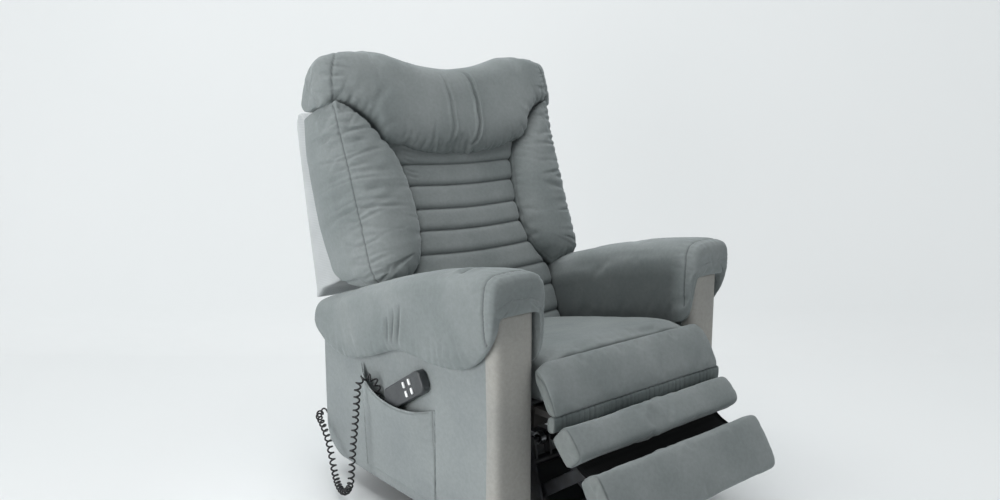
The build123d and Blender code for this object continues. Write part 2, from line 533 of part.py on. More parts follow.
def pad_slab(pad, half, down, out):
    """Slab along a pad's board."""
    (d0, d1), (o0, o1) = down, out
    corners = [pad_point(pad, d, o) for d, o in ((d0, o0), (d0, o1), (d1, o1), (d1, o0))]
    return across(side_face(corners), -half, half)


def make_footrest():
    """Two padded boards on a pair of brackets, with a dark cloth behind the gap."""
    upper = pad_slab(UPPER_PAD, PAD_HALF, (0, UPPER_PAD["length"]), (0, UPPER_PAD["thick"]))
    lower = pad_slab(LOWER_PAD, PAD_HALF, (0, LOWER_PAD["length"]), (0, LOWER_PAD["thick"]))
    upper = fillet(upper.edges().filter_by(Axis.X).group_by(Axis.Y)[0], 14)
    lower = fillet(lower.edges().filter_by(Axis.X).group_by(Axis.Y)[0], 18)
    lower = fillet(lower.edges().filter_by(Axis.X).group_by(Axis.Z)[0], 18)
    boards = [pad_slab(UPPER_PAD, BOARD_HALF, (6, UPPER_PAD["length"] - 4), (-0.5 - BOARD_THICK, -0.5)),
              pad_slab(LOWER_PAD, BOARD_HALF, (4, LOWER_PAD["length"] - 12), (-0.5 - BOARD_THICK, -0.5))]
    behind = -0.5 - BOARD_THICK
    x0, x1 = LAYERS["bracket"], LAYERS["bracket"] + PLATE
    outline = [pad_point(UPPER_PAD, 10, behind), pad_point(UPPER_PAD, UPPER_PAD["length"] - 3.5, behind),
               pad_point(LOWER_PAD, 3.5, behind), pad_point(LOWER_PAD, 100, behind),
               pad_point(LOWER_PAD, 96, behind - 14), (LEG_H[0] - 8, LEG_H[1] - 12),
               (LEG_H[0] + 12, LEG_H[1] - 2)]
    bracket = across(side_face(outline), x0, x1) + disc(LEG_H, 13, x0, x1)
    bracket -= disc(LEG_G, PIN_R + PIN_CLEARANCE, x0 - 1, x1 + 1)
    bracket -= disc(LEG_H, PIN_R + OPEN_CLEARANCE, x0 - 1, x1 + 1)
    ends = ((UPPER_PAD, UPPER_PAD["length"] - 4 + SEAT_GAP), (LOWER_PAD, 4 - SEAT_GAP))
    cloth = side_face([pad_point(*ends[0], -6), pad_point(*ends[0], -9), pad_point(*ends[1], -9),
                       pad_point(*ends[1], -6)])
    cloth = across(cloth, -BOARD_HALF + 4, BOARD_HALF - 4)
    return dict(upper_leg_pad=[upper], lower_leg_pad=[lower], leg_boards=boards,
                leg_brackets=both_sides(bracket), leg_gap_cloth=[cloth])


# ---------------------------------------------------------------- handset and electrics
def handset_place():
    """Frame of the handset: local x along it to its upper end, local z out of the side panel."""
    tilt = radians(HANDSET_TILT)
    direction = (0, -cos(tilt), sin(tilt))
    y, z = HANDSET_LOW_END
    return Plane(origin=(-ARM_OUT - 4.7, y, z), x_dir=direction, z_dir=(-1, 0, 0))


def make_handset():
    """Hand control with four buttons, and the pocket on the side panel that holds it."""
    frame = handset_place()
    shell = Pos(HANDSET_LENGTH / 2, 0, 0) * Box(HANDSET_LENGTH, HANDSET_WIDTH, HANDSET_THICK,
                                                align=(Align.CENTER, Align.CENTER, Align.MIN))
    shell = fillet(shell.edges().filter_by(Axis.Z), 18)
    shell = fillet(shell.edges().group_by(Axis.Z)[-1], 5)
    pocket_depth = BUTTON_TRAVEL + 2.0
    buttons = {}
    for row in range(2):
        for column in range(2):
            x = HANDSET_LENGTH - 74 + row * 26
            y = -11 + column * 22
            hole = Pos(x, y, HANDSET_THICK) * Box(BUTTON_WIDTH + 0.6, BUTTON_LENGTH + 0.6,
                                                  2 * pocket_depth)
            shell -= hole
            key = Pos(x, y, HANDSET_THICK - pocket_depth + BUTTON_TRAVEL + 0.2)
            key *= Box(BUTTON_WIDTH, BUTTON_LENGTH, 4.0, align=(Align.CENTER, Align.CENTER, Align.MIN))
            key = fillet(key.edges().filter_by(Axis.Z), 3.5)
            buttons[f"handset_button_{2 * row + column + 1}"] = [frame * key]
    relief = Pos(-14, 0, 9) * Rot(0, 90, 0) * Cone(4, 7, 14, align=BOTTOM)
    return dict(handset_shell=[frame * shell], handset_relief=[frame * relief], **buttons)


def make_pocket():
    """Fabric pouch on the side panel: a front sheet, open at the top, closed at three edges."""
    wall = 3.0
    depth = HANDSET_THICK + 8.0
    x_in, x_out = -ARM_OUT - SEAT_GAP, -ARM_OUT - depth
    mouth = [(532, 352), (465, 322), (410, 308), (332, 312), (248, 332)]
    body = side_face([(248, 72), (532, 72)] + mouth)
    pouch = across(body, x_out, x_in)
    hollow = side_face([(248 + 12, 150), (532 - 12, 150), (532 - 12, 400), (248 + 12, 400)])
    pouch -= across(hollow, x_out + wall, x_in + 1)
    return [pouch]


def make_electrics():
    """Control box under the seat with its mains inlet, and the gland of the handset cord."""
    box = block((-60, 60), (540, 600), (170, 215))
    box = fillet(box.edges().filter_by(Axis.X), 5)
    box -= block((-14, 14), (590, 601), (182, 204))
    inlet = block((-13.5, 13.5), (590.5, 599), (182.5, 203.5))
    inlet -= block((-10, 10), (593, 600), (186, 200))
    for x in (-5.0, 0.0, 5.0):
        inlet += block((x - 1, x + 1), (592, 598), (191, 195))
    gland = Pos(*CORD_GLAND) * Rot(-90, 0, 0) * (Cylinder(9, 5, align=BOTTOM)
                                                 + Cylinder(6, CORD_GLAND_LENGTH, align=BOTTOM))
    return dict(control_box=[box], mains_inlet=[inlet], cord_gland=[gland])


def cord_route():
    """Points of the handset cord's free stretch, in order from the handset to the gland."""
    return [(-384.2, 404.3, 295.6), (-384.2, 414.6, 289.4), (-384.2, 426.6, 289.2), (-384.3, 437.1, 295),
            (-384.4, 443.3, 305.3), (-384.6, 443.5, 323), (-390.7, 451.6, 337.1), (-400.7, 464.7, 342.5),
            (-410.7, 477.8, 337.1), (-416.9, 485.9, 323), (-418, 490, 300), (-418, 497, 264),
            (-419, 506, 210), (-422, 515, 152), (-427, 521, 94), (-431, 526.9, 56), (-435, 544.1, 33),
            (-438, 570.7, 23.7), (-438, 600, 30), (-433, 629, 51), (-423, 660.7, 81.6),
            (-412, 694, 110), (-402, 728, 133), (-394, 760, 148), (-385.5, 782, 154),
            (-368.8, 794.1, 157), (-348.3, 796.3, 159), (-329.5, 787.9, 160), (-318, 771.2, 160),
            (CORD_GLAND[0], CORD_GLAND[1] + CORD_GLAND_LENGTH + SEAT_GAP, CORD_GLAND[2])]


def make_cord():
    """Fat tube of the curly cord's outer diameter along its route."""
    points = cord_route()
    runs = [Vector(*b) - Vector(*a) for a, b in zip(points, points[1:])]
    radii = []
    for first, second in zip(runs, runs[1:]):
        half_turn = radians(first.get_angle(second)) / 2
        shorter = min(first.length, second.length)
        radii.append(round(0.45 * shorter / max(0.02, sin(half_turn) / cos(half_turn)), 2))
    print("cord radii", radii)
    path = FilletPolyline(*points, radius=radii)
    section = Plane(origin=path @ 0, z_dir=path % 0) * Circle(CORD_COIL_R)
    tube = sweep(section, path)
    print("cord volume ratio", round(tube.volume / (pi * CORD_COIL_R ** 2 * path.length), 4),
          "length", round(path.length, 1))
    return [tube]


# ---------------------------------------------------------------- assembly
def build():
    """All nodes by name, each a list of solids."""
    nodes = {}
    nodes.update(make_base())
    nodes.update(make_lift_links())
    nodes.update(make_carrier())
    nodes.update(make_seat())
    stretchers = []
    for side in (-1, 1):
        arm, wood = make_arm(side)
        nodes.update(arm)
        stretchers += wood
    nodes["arm_stretchers"] = stretchers
    nodes["rear_cover"] = [make_rear_cover()]
    nodes.update(make_back())
    nodes.update(make_leg_links())
    nodes.update(make_footrest())
    nodes.update(make_handset())
    nodes["handset_pocket"] = make_pocket()
    nodes.update(make_electrics())
    nodes["handset_cord"] = make_cord()
    drives = dict(lift=(LIFT_MOTOR_PIVOT, LIFT_DRIVE, 0.0, 4.2, 0.6),
                  back=(BACK_MOTOR_PIVOT, BACK_DRIVE, BACK_MOTOR_X, 3.2, 0.5),
                  leg=(LEG_MOTOR_PIVOT, LEG_DRIVE, LEG_MOTOR_X, 7.4, 0.6))
    for name, sizes in drives.items():
        motor, rod = actuator(*sizes)
        nodes[f"{name}_motor"] = [motor]
        nodes[f"{name}_rod"] = [rod]
    return nodes


def flat_solids(pieces):
    """Single solids of a list of shapes."""
    return [solid for piece in pieces for solid in piece.solids()]


def main():
    """Build, move the origin under the middle of the chair and write one file a node."""
    nodes = {name: flat_solids(pieces) for name, pieces in build().items()}
    limits = [solid.bounding_box() for name, solids in nodes.items() for solid in solids
              if name != "handset_cord"]
    middle = round((min(b.min.Y for b in limits) + max(b.max.Y for b in limits)) / 2, 1)
    print("origin moved to Y", middle)
    os.makedirs("parts", exist_ok=True)
    for name, solids in nodes.items():
        placed = [Pos(0, -middle, 0) * solid for solid in solids]
        export_step(placed[0] if len(placed) == 1 else Compound(children=placed), f"parts/{name}.step")
    print(len(nodes), "nodes")


main()
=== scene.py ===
"""Looks of a powered lift recliner: velour pads, posts and panels, handset with its curly cord.

Sizes are millimetres in the chair's own frame: X to the left arm, Y to the rear from the front of
the arm posts, Z up from the floor. placed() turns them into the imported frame's metres.
"""
import json
import logging
from dataclasses import dataclass, field, replace
from enum import Enum
from math import cos, pi, radians, sin
from typing import Any, Callable, Optional, Sequence

import bpy
import numpy as np
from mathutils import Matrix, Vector


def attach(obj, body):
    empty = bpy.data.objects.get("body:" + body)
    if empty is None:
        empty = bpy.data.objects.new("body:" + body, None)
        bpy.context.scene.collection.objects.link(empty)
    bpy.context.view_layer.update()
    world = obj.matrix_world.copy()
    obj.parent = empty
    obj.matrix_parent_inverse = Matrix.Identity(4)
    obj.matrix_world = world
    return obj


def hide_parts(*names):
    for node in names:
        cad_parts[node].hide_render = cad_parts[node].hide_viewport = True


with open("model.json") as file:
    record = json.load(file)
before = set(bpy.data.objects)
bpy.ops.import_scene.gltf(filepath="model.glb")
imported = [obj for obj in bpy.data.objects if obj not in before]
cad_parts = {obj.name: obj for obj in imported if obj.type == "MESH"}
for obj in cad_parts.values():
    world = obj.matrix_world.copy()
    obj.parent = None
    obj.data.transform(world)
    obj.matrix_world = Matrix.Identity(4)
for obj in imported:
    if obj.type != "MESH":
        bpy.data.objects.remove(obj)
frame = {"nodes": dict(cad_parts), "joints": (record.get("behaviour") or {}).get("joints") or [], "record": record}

logging.basicConfig(level=logging.INFO, format="%(message)s")
LOG = logging.getLogger("recliner")
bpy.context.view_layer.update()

Array = np.ndarray
RECLINE = next(j for j in frame["joints"] if j["name"] == "recline")
DATUM = 620.0 - 1000.0 * RECLINE["pos_m"][1]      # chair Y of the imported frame's origin
LEAN = radians(20.0)                              # the back, from upright
BACK_Y, BACK_Z = 450.0, 400.0                     # foot of the back's front surface
BOX_FRONT, BOX_FALL, ARM_DEPTH = 583.0, 163.0, 732.0   # arm box: front height, fall of its top, depth
DECK_FRONT, DECK_FALL, DECK_DEPTH = 366.0, 36.0, 528.0
CAMERA_AT, CAMERA_TURN = (-1459.0, -1307.0, 1020.0), 40.0
DOME_ANGLES = (0.6, 1.05, 1.35, 1.55)             # where the loops of a closing dome lie, in radians
COARSE_PITCH = 15.0                               # of the copy that the cloth run fills
CHUNK = 20000                                     # points measured at once against a line


# ---------------------------------------------------------------- frames and curves
def placed(points: Array) -> Array:
    """Chair millimetres to packed metres.

    Args:
        points: array of shape (..., 3).

    Returns:
        The same array moved by the datum and divided by 1000.
    """
    return (np.asarray(points, float) - (0.0, DATUM, 0.0)) / 1000.0


def spread(*parts: Any) -> Array:
    """Numbers and arrays brought to one shape and stacked along a new last axis."""
    return np.stack(np.broadcast_arrays(*parts), -1)


def on_back(x: Any, u: Any, v: Any) -> Array:
    """Points of the back: u up its front surface from the foot, v behind that surface.

    Args:
        x: across the chair.
        u: up the back.
        v: rearwards, square to the front surface.

    Returns:
        Chair points: y = foot + u sin + v cos and z = foot + u cos - v sin of the lean.
    """
    return spread(x, BACK_Y + u * sin(LEAN) + v * cos(LEAN), BACK_Z + u * cos(LEAN) - v * sin(LEAN))


def box_top(y: Array) -> Array:
    """Height of the wooden arm box, whose top falls straight from front to rear."""
    return BOX_FRONT - BOX_FALL * np.asarray(y, float) / ARM_DEPTH


def deck(y: Array) -> Array:
    """Height of the spring deck's top, which falls towards the rear."""
    return DECK_FRONT - DECK_FALL * np.asarray(y, float) / DECK_DEPTH


def lengths(line: Array) -> Array:
    """Distance along a polyline at each of its points, from 0."""
    return np.concatenate([[0], np.cumsum(np.linalg.norm(np.diff(line, axis=0), axis=1))])


def smooth(stations: Sequence[float], values: Array, at: Array) -> Array:
    """Cubic Hermite curve through values, with slopes weighted by the neighbouring spans.

    Args:
        stations: rising parameters, one for each row of values.
        values: rows of any shape.
        at: parameters to read.

    Returns:
        Rows at those parameters.
    """
    x, v = np.asarray(stations, float), np.asarray(values, float)
    shape = (-1,) + (1,) * (v.ndim - 1)
    span = np.diff(x).reshape(shape)
    rate = np.diff(v, axis=0) / span
    inner = (rate[1:] * span[:-1] + rate[:-1] * span[1:]) / (span[1:] + span[:-1])
    slope = np.concatenate([rate[:1], inner, rate[-1:]])
    i = np.clip(np.searchsorted(x, at, side="right") - 1, 0, len(x) - 2)
    f = ((np.asarray(at) - x[i]) / (x[i + 1] - x[i])).reshape(shape)
    h = span[i]
    return ((2 * f ** 3 - 3 * f ** 2 + 1) * v[i] + (f ** 3 - 2 * f ** 2 + f) * h * slope[i]
            + (3 * f ** 2 - 2 * f ** 3) * v[i + 1] + (f ** 3 - f ** 2) * h * slope[i + 1])


def profile(pairs: Sequence[tuple[float, float]], at: Array) -> Array:
    """Straight-line table lookup, for sizes that change along a piece."""
    table = np.asarray(sorted(pairs), float)
    return np.interp(at, table[:, 0], table[:, 1])


def ring(net: Array, t: Array) -> Array:
    """Closed uniform cubic B-spline round each row of control points.

    Args:
        net: (rows, points, 3).
        t: parameters from 0 to the number of points.

    Returns:
        (rows, len(t), 3).
    """
    count = net.shape[1]
    i = np.floor(t).astype(int)
    f = np.asarray(t) - i
    weights = ((1 - f) ** 3, 3 * f ** 3 - 6 * f ** 2 + 4, -3 * f ** 3 + 3 * f ** 2 + 3 * f + 1, f ** 3)
    return sum(net[:, (i + j - 1) % count] * w[None, :, None] / 6 for j, w in enumerate(weights))


def inset(loop: Array, by: float) -> Array:
    """A loop drawn in by the same amount from all sides, along its two main directions."""
    middle = (loop.max(0) + loop.min(0)) / 2
    offset = loop - middle
    axes = np.linalg.svd(offset - offset.mean(0), full_matrices=False)[2]
    flat = offset @ axes.T
    half = np.abs(flat).max(0)
    scale = np.where(half > 1e-6, np.clip(1 - by / np.maximum(half, 1e-6), 0.02, 1), 1)
    scale[2] = 1.0
    return middle + (flat * scale) @ axes


def capped(net: Array, swell: tuple[float, float]) -> Array:
    """Adds loops at both ends that close the piece in a shallow elliptic dome.

    Args:
        net: (rows, points, 3).
        swell: height of the dome at the first and at the last row.

    Returns:
        The net with four more rows at each end.
    """
    ends = []
    for row, beside, height in ((net[0], net[1], swell[0]), (net[-1], net[-2], swell[1])):
        out = row.mean(0) - beside.mean(0)
        out /= max(np.linalg.norm(out), 1e-6)
        middle = row - row.mean(0)
        across = np.linalg.svd(middle, full_matrices=False)[2][1]
        thin = np.abs(middle @ across).max()
        ends.append([inset(row, thin * (1 - cos(a))) + out * height * sin(a) for a in DOME_ANGLES])
    return np.concatenate([np.array(ends[0])[::-1], net, np.array(ends[1])])


# ---------------------------------------------------------------- sewing
@dataclass(frozen=True)
class Seam:
    """A sewn line pressed into a pad, with painted shade along it, and the gathers that fan out from it."""
    line: Any                  # points in chair millimetres
    width: float = 3.5
    depth: float = 2.5
    every: float = 0.0         # mean distance between gathers, 0 for none
    gather: float = 2.0
    spread: float = 6.0
    reach: float = 45.0
    seed: int = 1
    taper: bool = False        # a crease that fades out at both ends
    dark: float = 0.6          # painted shade: how much darker the colour is painted in the seam's depth

    def laid(self, points: Array) -> "Seam":
        """The same seam with its line moved onto the nearest of the surface's points."""
        line = np.asarray(self.line, float)
        run = lengths(line)
        marks = np.linspace(0, run[-1], max(4, int(run[-1] / 5.0)))
        fine = np.stack([np.interp(marks, run, line[:, k]) for k in range(3)], 1)
        near = np.concatenate([points[np.argmin(((points[None] - part[:, None]) ** 2).sum(2), 1)]
                               for part in np.array_split(fine, max(1, len(fine) // 12))])
        padded = np.pad(near, ((2, 2), (0, 0)), "edge")
        eased = sum(padded[k:k + len(near)] for k in range(5)) / 5
        eased[[0, -1]] = near[[0, -1]]
        return replace(self, line=eased)

    def press(self, points: Array) -> tuple[Array, Array]:
        """Height change along the normal, and how much painted shade each point takes from the seam.

        A seam is a Gaussian valley of the distance to the line.

        Args:
            points: (n, 3) in chair millimetres.

        Returns:
            (n,) millimetres and (n,) from 0 to 1.
        """
        line = np.asarray(self.line, float)
        run = lengths(line)
        fine = np.linspace(0, run[-1], max(8, int(run[-1] / 2.0)))
        dense = smooth(run, line, fine)
        dist, along = nearest(points, dense, fine)
        depth = self.depth
        if self.taper:
            depth = depth * np.sin(np.clip(along / run[-1], 0, 1) * pi) ** 0.6
        q = dist / self.width
        height = -depth * np.exp(-q ** 2)
        if self.taper:
            height += 0.5 * depth * np.exp(-((q - 2.2) / 1.1) ** 2)
        if self.every > 0:
            height -= self.gathers(dist, along, run[-1])
        # painted shade in the seam, fading away from its line
        dark = self.dark * np.exp(-(dist / max(2.2, 0.5 * self.width)) ** 2)
        if self.taper:
            dark = dark * depth / self.depth
        return height, dark

    def gathers(self, dist: Array, along: Array, length: float) -> Array:
        """How far the gathers lower each point.

        A gather is a Gaussian valley of the distance along the line, between two low ridges; it widens
        and fades away from the line.

        Args:
            dist: (n,) distance to the line.
            along: (n,) distance along it.
            length: of the line.

        Returns:
            (n,) millimetres.
        """
        rng = np.random.default_rng(self.seed)
        count = max(1, int(length / self.every))
        centre = (np.arange(count) + rng.uniform(0.15, 0.85, count)) * length / count
        deep = self.gather * rng.uniform(0.35, 1.25, count)
        wide = self.spread * rng.uniform(0.55, 1.4, count)
        reach = self.reach * rng.uniform(0.35, 1.3, count)
        lean = rng.normal(0, 0.16, count)
        near = dist < 2.2 * self.reach
        d, a = dist[near][:, None], along[near][:, None]
        q = (a - centre - lean * d) / (wide * (1 + 0.7 * d / reach))
        fold = deep * (np.exp(-q ** 2) - 0.45 * np.exp(-(q / 2.1) ** 2)) * np.exp(-(d / reach) ** 2)
        lowered = np.zeros(len(dist))
        lowered[near] = (fold * d / (d + 3.0)).sum(1)
        return lowered


def nearest(points: Array, line: Array, run: Array) -> tuple[Array, Array]:
    """Distance to a dense polyline, and how far along it the nearest point lies."""
    p, q = points.astype(np.float32), line.astype(np.float32)
    dist = np.empty(len(p), np.float32)
    along = np.empty(len(p), np.float32)
    for start in range(0, len(p), CHUNK):
        part = slice(start, start + CHUNK)
        square = (p[part] ** 2).sum(1)[:, None] + (q ** 2).sum(1)[None] - 2 * p[part] @ q.T
        i = square.argmin(1)
        dist[part] = np.linalg.norm(p[part] - q[i], axis=1)
        along[part] = run[i]
    return dist.astype(float), along.astype(float)


@dataclass
class Stuffing:
    """How hard a pad is filled: a short cloth run on a coarse copy of its surface."""
    pressure: float = 4.0
    ease: float = 0.03          # extra cloth that has to wrinkle
    cap: float = 14.0           # farthest that a point may move
    bending: float = 1.0
    frames: int = 16

    def run(self, obj: bpy.types.Object) -> Array:
        """Fills an object with pressure, held at its "held" group; its points afterwards, in metres."""
        cloth = obj.modifiers.new("fill", "CLOTH")
        settings = cloth.settings
        settings.quality = 5
        settings.mass = 0.25
        settings.tension_stiffness = settings.compression_stiffness = 18
        settings.shear_stiffness = 8
        settings.bending_stiffness = self.bending
        settings.use_pressure = True
        settings.uniform_pressure_force = self.pressure
        settings.shrink_min = -self.ease
        settings.vertex_group_mass = "held"
        settings.effector_weights.gravity = 0
        cloth.collision_settings.use_collision = False
        cloth.collision_settings.use_self_collision = False
        cloth.point_cache.frame_start, cloth.point_cache.frame_end = 1, self.frames
        for number in range(1, self.frames + 1):
            bpy.context.scene.frame_set(number)
        solved = obj.evaluated_get(bpy.context.evaluated_depsgraph_get()).to_mesh()
        now = np.empty(len(solved.vertices) * 3)
        solved.vertices.foreach_get("co", now)
        bpy.context.scene.frame_set(1)
        return now.reshape(-1, 3)


@dataclass
class Pad:
    """A closed surface over loops of control points, with its stuffing and its sewing."""
    name: str
    net: Array
    swell: tuple[float, float] = (6.0, 6.0)
    pitch: float = 4.5
    stuffing: Optional[Stuffing] = None
    seams: list[Seam] = field(default_factory=list)
    held: Optional[Callable[[Array], Array]] = None      # True where the cloth can't move
    relief: Optional[Callable[[Array], tuple[Array, Array]]] = None

    def __post_init__(self) -> None:
        """Closes the ends and works out even parameters in both directions."""
        self.loops = capped(self.net, self.swell)
        rows, count = self.loops.shape[:2]
        s, t = np.linspace(0, rows - 1, rows * 8), np.linspace(0, count, count * 8 + 1)
        dense = self.at(s, t)
        along = np.linalg.norm(np.diff(dense, axis=0), axis=2).mean(1)
        around = np.linalg.norm(np.diff(dense, axis=1), axis=2)[rows * 2:-rows * 2].mean(0)
        self.s_run = (s, np.concatenate([[0], np.cumsum(along)]))
        self.t_run = (t, np.concatenate([[0], np.cumsum(around)]))

    def at(self, s: Array, t: Array) -> Array:
        """Surface points at parameters s along the piece and t round it."""
        return ring(smooth(np.arange(len(self.loops)), self.loops, s), t)

    def grid(self, pitch: float) -> tuple[Array, Array]:
        """Parameters that are pitch apart on the surface, closed round the loop."""
        out = []
        for (values, run), closed in ((self.s_run, False), (self.t_run, True)):
            count = max(12, int(run[-1] / pitch))
            marks = np.linspace(0, run[-1], count + 1)
            out.append(np.interp(marks[:-1] if closed else marks, run, values))
        return out[0], out[1]

    def surface(self) -> Array:
        """Final points: base surface, stuffing, relief and sewing, in chair millimetres."""
        s, t = self.grid(self.pitch)
        points = self.at(s, t)
        if self.stuffing:
            points = points + self.stuffed(s, t)
        out = normals(points)
        flat = points.reshape(-1, 3)
        height, self.shade = np.zeros(len(flat)), np.zeros(len(flat))
        presses = [seam.laid(flat).press for seam in self.seams] + ([self.relief] if self.relief else [])
        for press in presses:
            pressed, dark = press(flat)
            height += pressed
            # painted shade of the seams, creases and folds; the strongest one wins
            self.shade = np.maximum(self.shade, dark)
        return points + out * height.reshape(points.shape[:2])[..., None]

    def build(self, finishes: Sequence["Finish"], end_panels: float = 0.0) -> bpy.types.Object:
        """The finished piece, with the painted shade of its seams and creases as its "seam" attribute.

        Args:
            finishes: material slots.
            end_panels: distance from the chair's middle from which faces take the second slot, or 0.

        Returns:
            The new object.
        """
        points = self.surface()
        index = None
        if end_panels:
            across = np.abs(points[:-1].mean(1)[:, 0])
            index = np.repeat((across > end_panels).astype(int)[:, None], points.shape[1], 1)
        obj = mesh_object(self.name, points, [dressed(f) for f in finishes], index)
        # the painted shade goes to the velour as the "seam" attribute
        layer = obj.data.attributes.new("seam", "FLOAT", "POINT")
        layer.data.foreach_set("value", np.concatenate([self.shade, [0, 0]]).astype(np.float32))
        return obj

    def stuffed(self, s: Array, t: Array) -> Array:
        """Movement that pressure gives a coarse copy, read back at the fine parameters."""
        cs, ct = self.grid(COARSE_PITCH)
        coarse = self.at(cs, ct)
        obj = mesh_object(self.name + "_fill", coarse)
        fixed = self.held(coarse.reshape(-1, 3)) if self.held else np.zeros(coarse.size // 3, bool)
        fixed = np.concatenate([fixed, [True, True]])
        fixed[:coarse.shape[1]] = True
        fixed[-2 - coarse.shape[1]:] = True
        group = obj.vertex_groups.new(name="held")
        group.add([int(i) for i in np.flatnonzero(fixed)], 1.0, "REPLACE")
        rest = placed(coarse.reshape(-1, 3))
        moved = (self.stuffing.run(obj)[:len(rest)] - rest) * 1000
        bpy.data.objects.remove(obj)
        size = np.linalg.norm(moved, axis=1, keepdims=True)
        cap = self.stuffing.cap
        moved = (moved * (cap * np.tanh(size / cap) / np.maximum(size, 1e-6))).reshape(coarse.shape)
        along = smooth(cs, moved, s)
        turns = len(self.loops[0])
        wrapped = np.concatenate([along[:, -2:], along, along[:, :2]], 1)
        marks = np.concatenate([ct[-2:] - turns, ct, ct[:2] + turns])
        return smooth(marks, wrapped.transpose(1, 0, 2), t).transpose(1, 0, 2)


def normals(points: Array) -> Array:
    """Outward unit normals of a closed grid: the cross product of its two directions.

    Args:
        points: (rows, round, 3), closed in the second direction.

    Returns:
        Unit vectors of the same shape.
    """
    along = np.gradient(points, axis=0)
    around = np.roll(points, -1, 1) - np.roll(points, 1, 1)
    out = np.cross(along, around)
    out /= np.maximum(np.linalg.norm(out, axis=2, keepdims=True), 1e-9)
    weight = np.linalg.norm(along, axis=2, keepdims=True)
    sign = np.sign(np.einsum("abc,abc->", out * weight, points - points.mean((0, 1))))
    return out * (sign or 1.0)


def new_object(name: str, data: bpy.types.ID) -> bpy.types.Object:
    """An object with this data, linked to the scene."""
    obj = bpy.data.objects.new(name, data)
    bpy.context.collection.objects.link(obj)
    return obj


def mesh_object(name: str, points: Array, materials: Sequence[bpy.types.Material] = (),
                index: Optional[Array] = None) -> bpy.types.Object:
    """A closed mesh from a grid that closes round its second direction, with a fan at both ends.

    Args:
        name: piece name.
        points: (rows, round, 3) in chair millimetres.
        materials: slots of the piece.
        index: (rows - 1, round) material numbers of the faces.

    Returns:
        The new object, at the origin.
    """
    rows, count = points.shape[:2]
    poles = np.stack([points[0].mean(0), points[-1].mean(0)])
    verts = placed(np.concatenate([points.reshape(-1, 3), poles]))
    i, j = np.meshgrid(np.arange(rows - 1), np.arange(count), indexing="ij")
    a, b = i * count + j, i * count + (j + 1) % count
    quads = np.stack([a, b, b + count, a + count], -1).reshape(-1, 4)
    now, after = np.arange(count), (np.arange(count) + 1) % count
    last = (rows - 1) * count
    fans = np.concatenate([spread(after, now, rows * count),
                           spread(last + now, last + after, rows * count + 1)])
    tri = np.concatenate([quads[:, [0, 1, 2]], quads[:, [0, 2, 3]], fans])
    volume = np.einsum("ij,ij->", verts[tri[:, 0]], np.cross(verts[tri[:, 1]], verts[tri[:, 2]]))
    if volume < 0:
        quads, fans = quads[:, ::-1], fans[:, ::-1]
    mesh = bpy.data.meshes.new(name)
    mesh.vertices.add(len(verts))
    mesh.vertices.foreach_set("co", verts.ravel())
    loops = np.concatenate([quads.ravel(), fans.ravel()])
    starts = np.concatenate([np.arange(len(quads)) * 4, len(quads) * 4 + np.arange(len(fans)) * 3])
    mesh.loops.add(len(loops))
    mesh.loops.foreach_set("vertex_index", loops.astype(np.int32))
    mesh.polygons.add(len(starts))
    mesh.polygons.foreach_set("loop_start", starts.astype(np.int32))
    mesh.update(calc_edges=True)
    mesh.validate()
    mesh.polygons.foreach_set("use_smooth", np.ones(len(mesh.polygons), bool))
    for material in materials:
        mesh.materials.append(material)
    if index is not None:
        ends = np.concatenate([np.full(count, index[0, 0]), np.full(count, index[-1, 0])])
        mesh.polygons.foreach_set("material_index", np.concatenate([index.ravel(), ends]).astype(np.int32))
    mesh.update()
    return new_object(name, mesh)


# ---------------------------------------------------------------- finishes
def linear(code: str) -> tuple[float, float, float, float]:
    """An sRGB hex value as linear RGBA."""
    part = [int(code[k:k + 2], 16) / 255 for k in (1, 3, 5)]
    rgb = [c / 12.92 if c <= 0.04045 else ((c + 0.055) / 1.055) ** 2.4 for c in part]
    return rgb[0], rgb[1], rgb[2], 1.0


def add_node(tree: bpy.types.NodeTree, kind: str, settings: Optional[dict[str, Any]] = None,
             inputs: Optional[dict[Any, Any]] = None) -> bpy.types.Node:
    """Adds a node, sets it up and joins its inputs.

    Args:
        tree: node tree of a material or a world.
        kind: node type.
        settings: properties by name.
        inputs: values or output sockets by input name or number.

    Returns:
        The new node.
    """
    node = tree.nodes.new(kind)
    for key, value in (settings or {}).items():
        setattr(node, key, value)
    for key, value in (inputs or {}).items():
        if isinstance(value, bpy.types.NodeSocket):
            tree.links.new(value, node.inputs[key])
        else:
            node.inputs[key].default_value = value
    return node


def new_material(name: str) -> tuple[bpy.types.Material, bpy.types.NodeTree, bpy.types.Node, Any]:
    """An empty material with its output node and Object coordinates."""
    material = bpy.data.materials.new(name)
    material.use_nodes = True
    tree = material.node_tree
    tree.nodes.clear()
    output = add_node(tree, "ShaderNodeOutputMaterial")
    coords = add_node(tree, "ShaderNodeTexCoord").outputs["Object"]
    return material, tree, output, coords


def noise(tree: bpy.types.NodeTree, coords: Any, size: float, detail: float = 3.0, rough: float = 0.5) -> Any:
    """Noise whose blobs are about size millimetres across; its Fac output."""
    inputs = {"Vector": coords, "Scale": 1000.0 / size, "Detail": detail, "Roughness": rough}
    return add_node(tree, "ShaderNodeTexNoise", None, inputs).outputs[0]


def mixed(tree: bpy.types.NodeTree, factor: Any, low: Any, high: Any, blend: str = "MIX") -> Any:
    """Colour mix of two colours or sockets."""
    kind = {"data_type": "RGBA", "blend_type": blend}
    return add_node(tree, "ShaderNodeMix", kind, {0: factor, 6: low, 7: high}).outputs[2]


def stretched(tree: bpy.types.NodeTree, value: Any, low: float, high: float, top: float = 1.0) -> Any:
    """Spreads the range low to high of a value softly over 0 to top."""
    inputs = {"Value": value, "From Min": low, "From Max": high, "To Max": top}
    return add_node(tree, "ShaderNodeMapRange", {"interpolation_type": "SMOOTHSTEP"}, inputs).outputs[0]


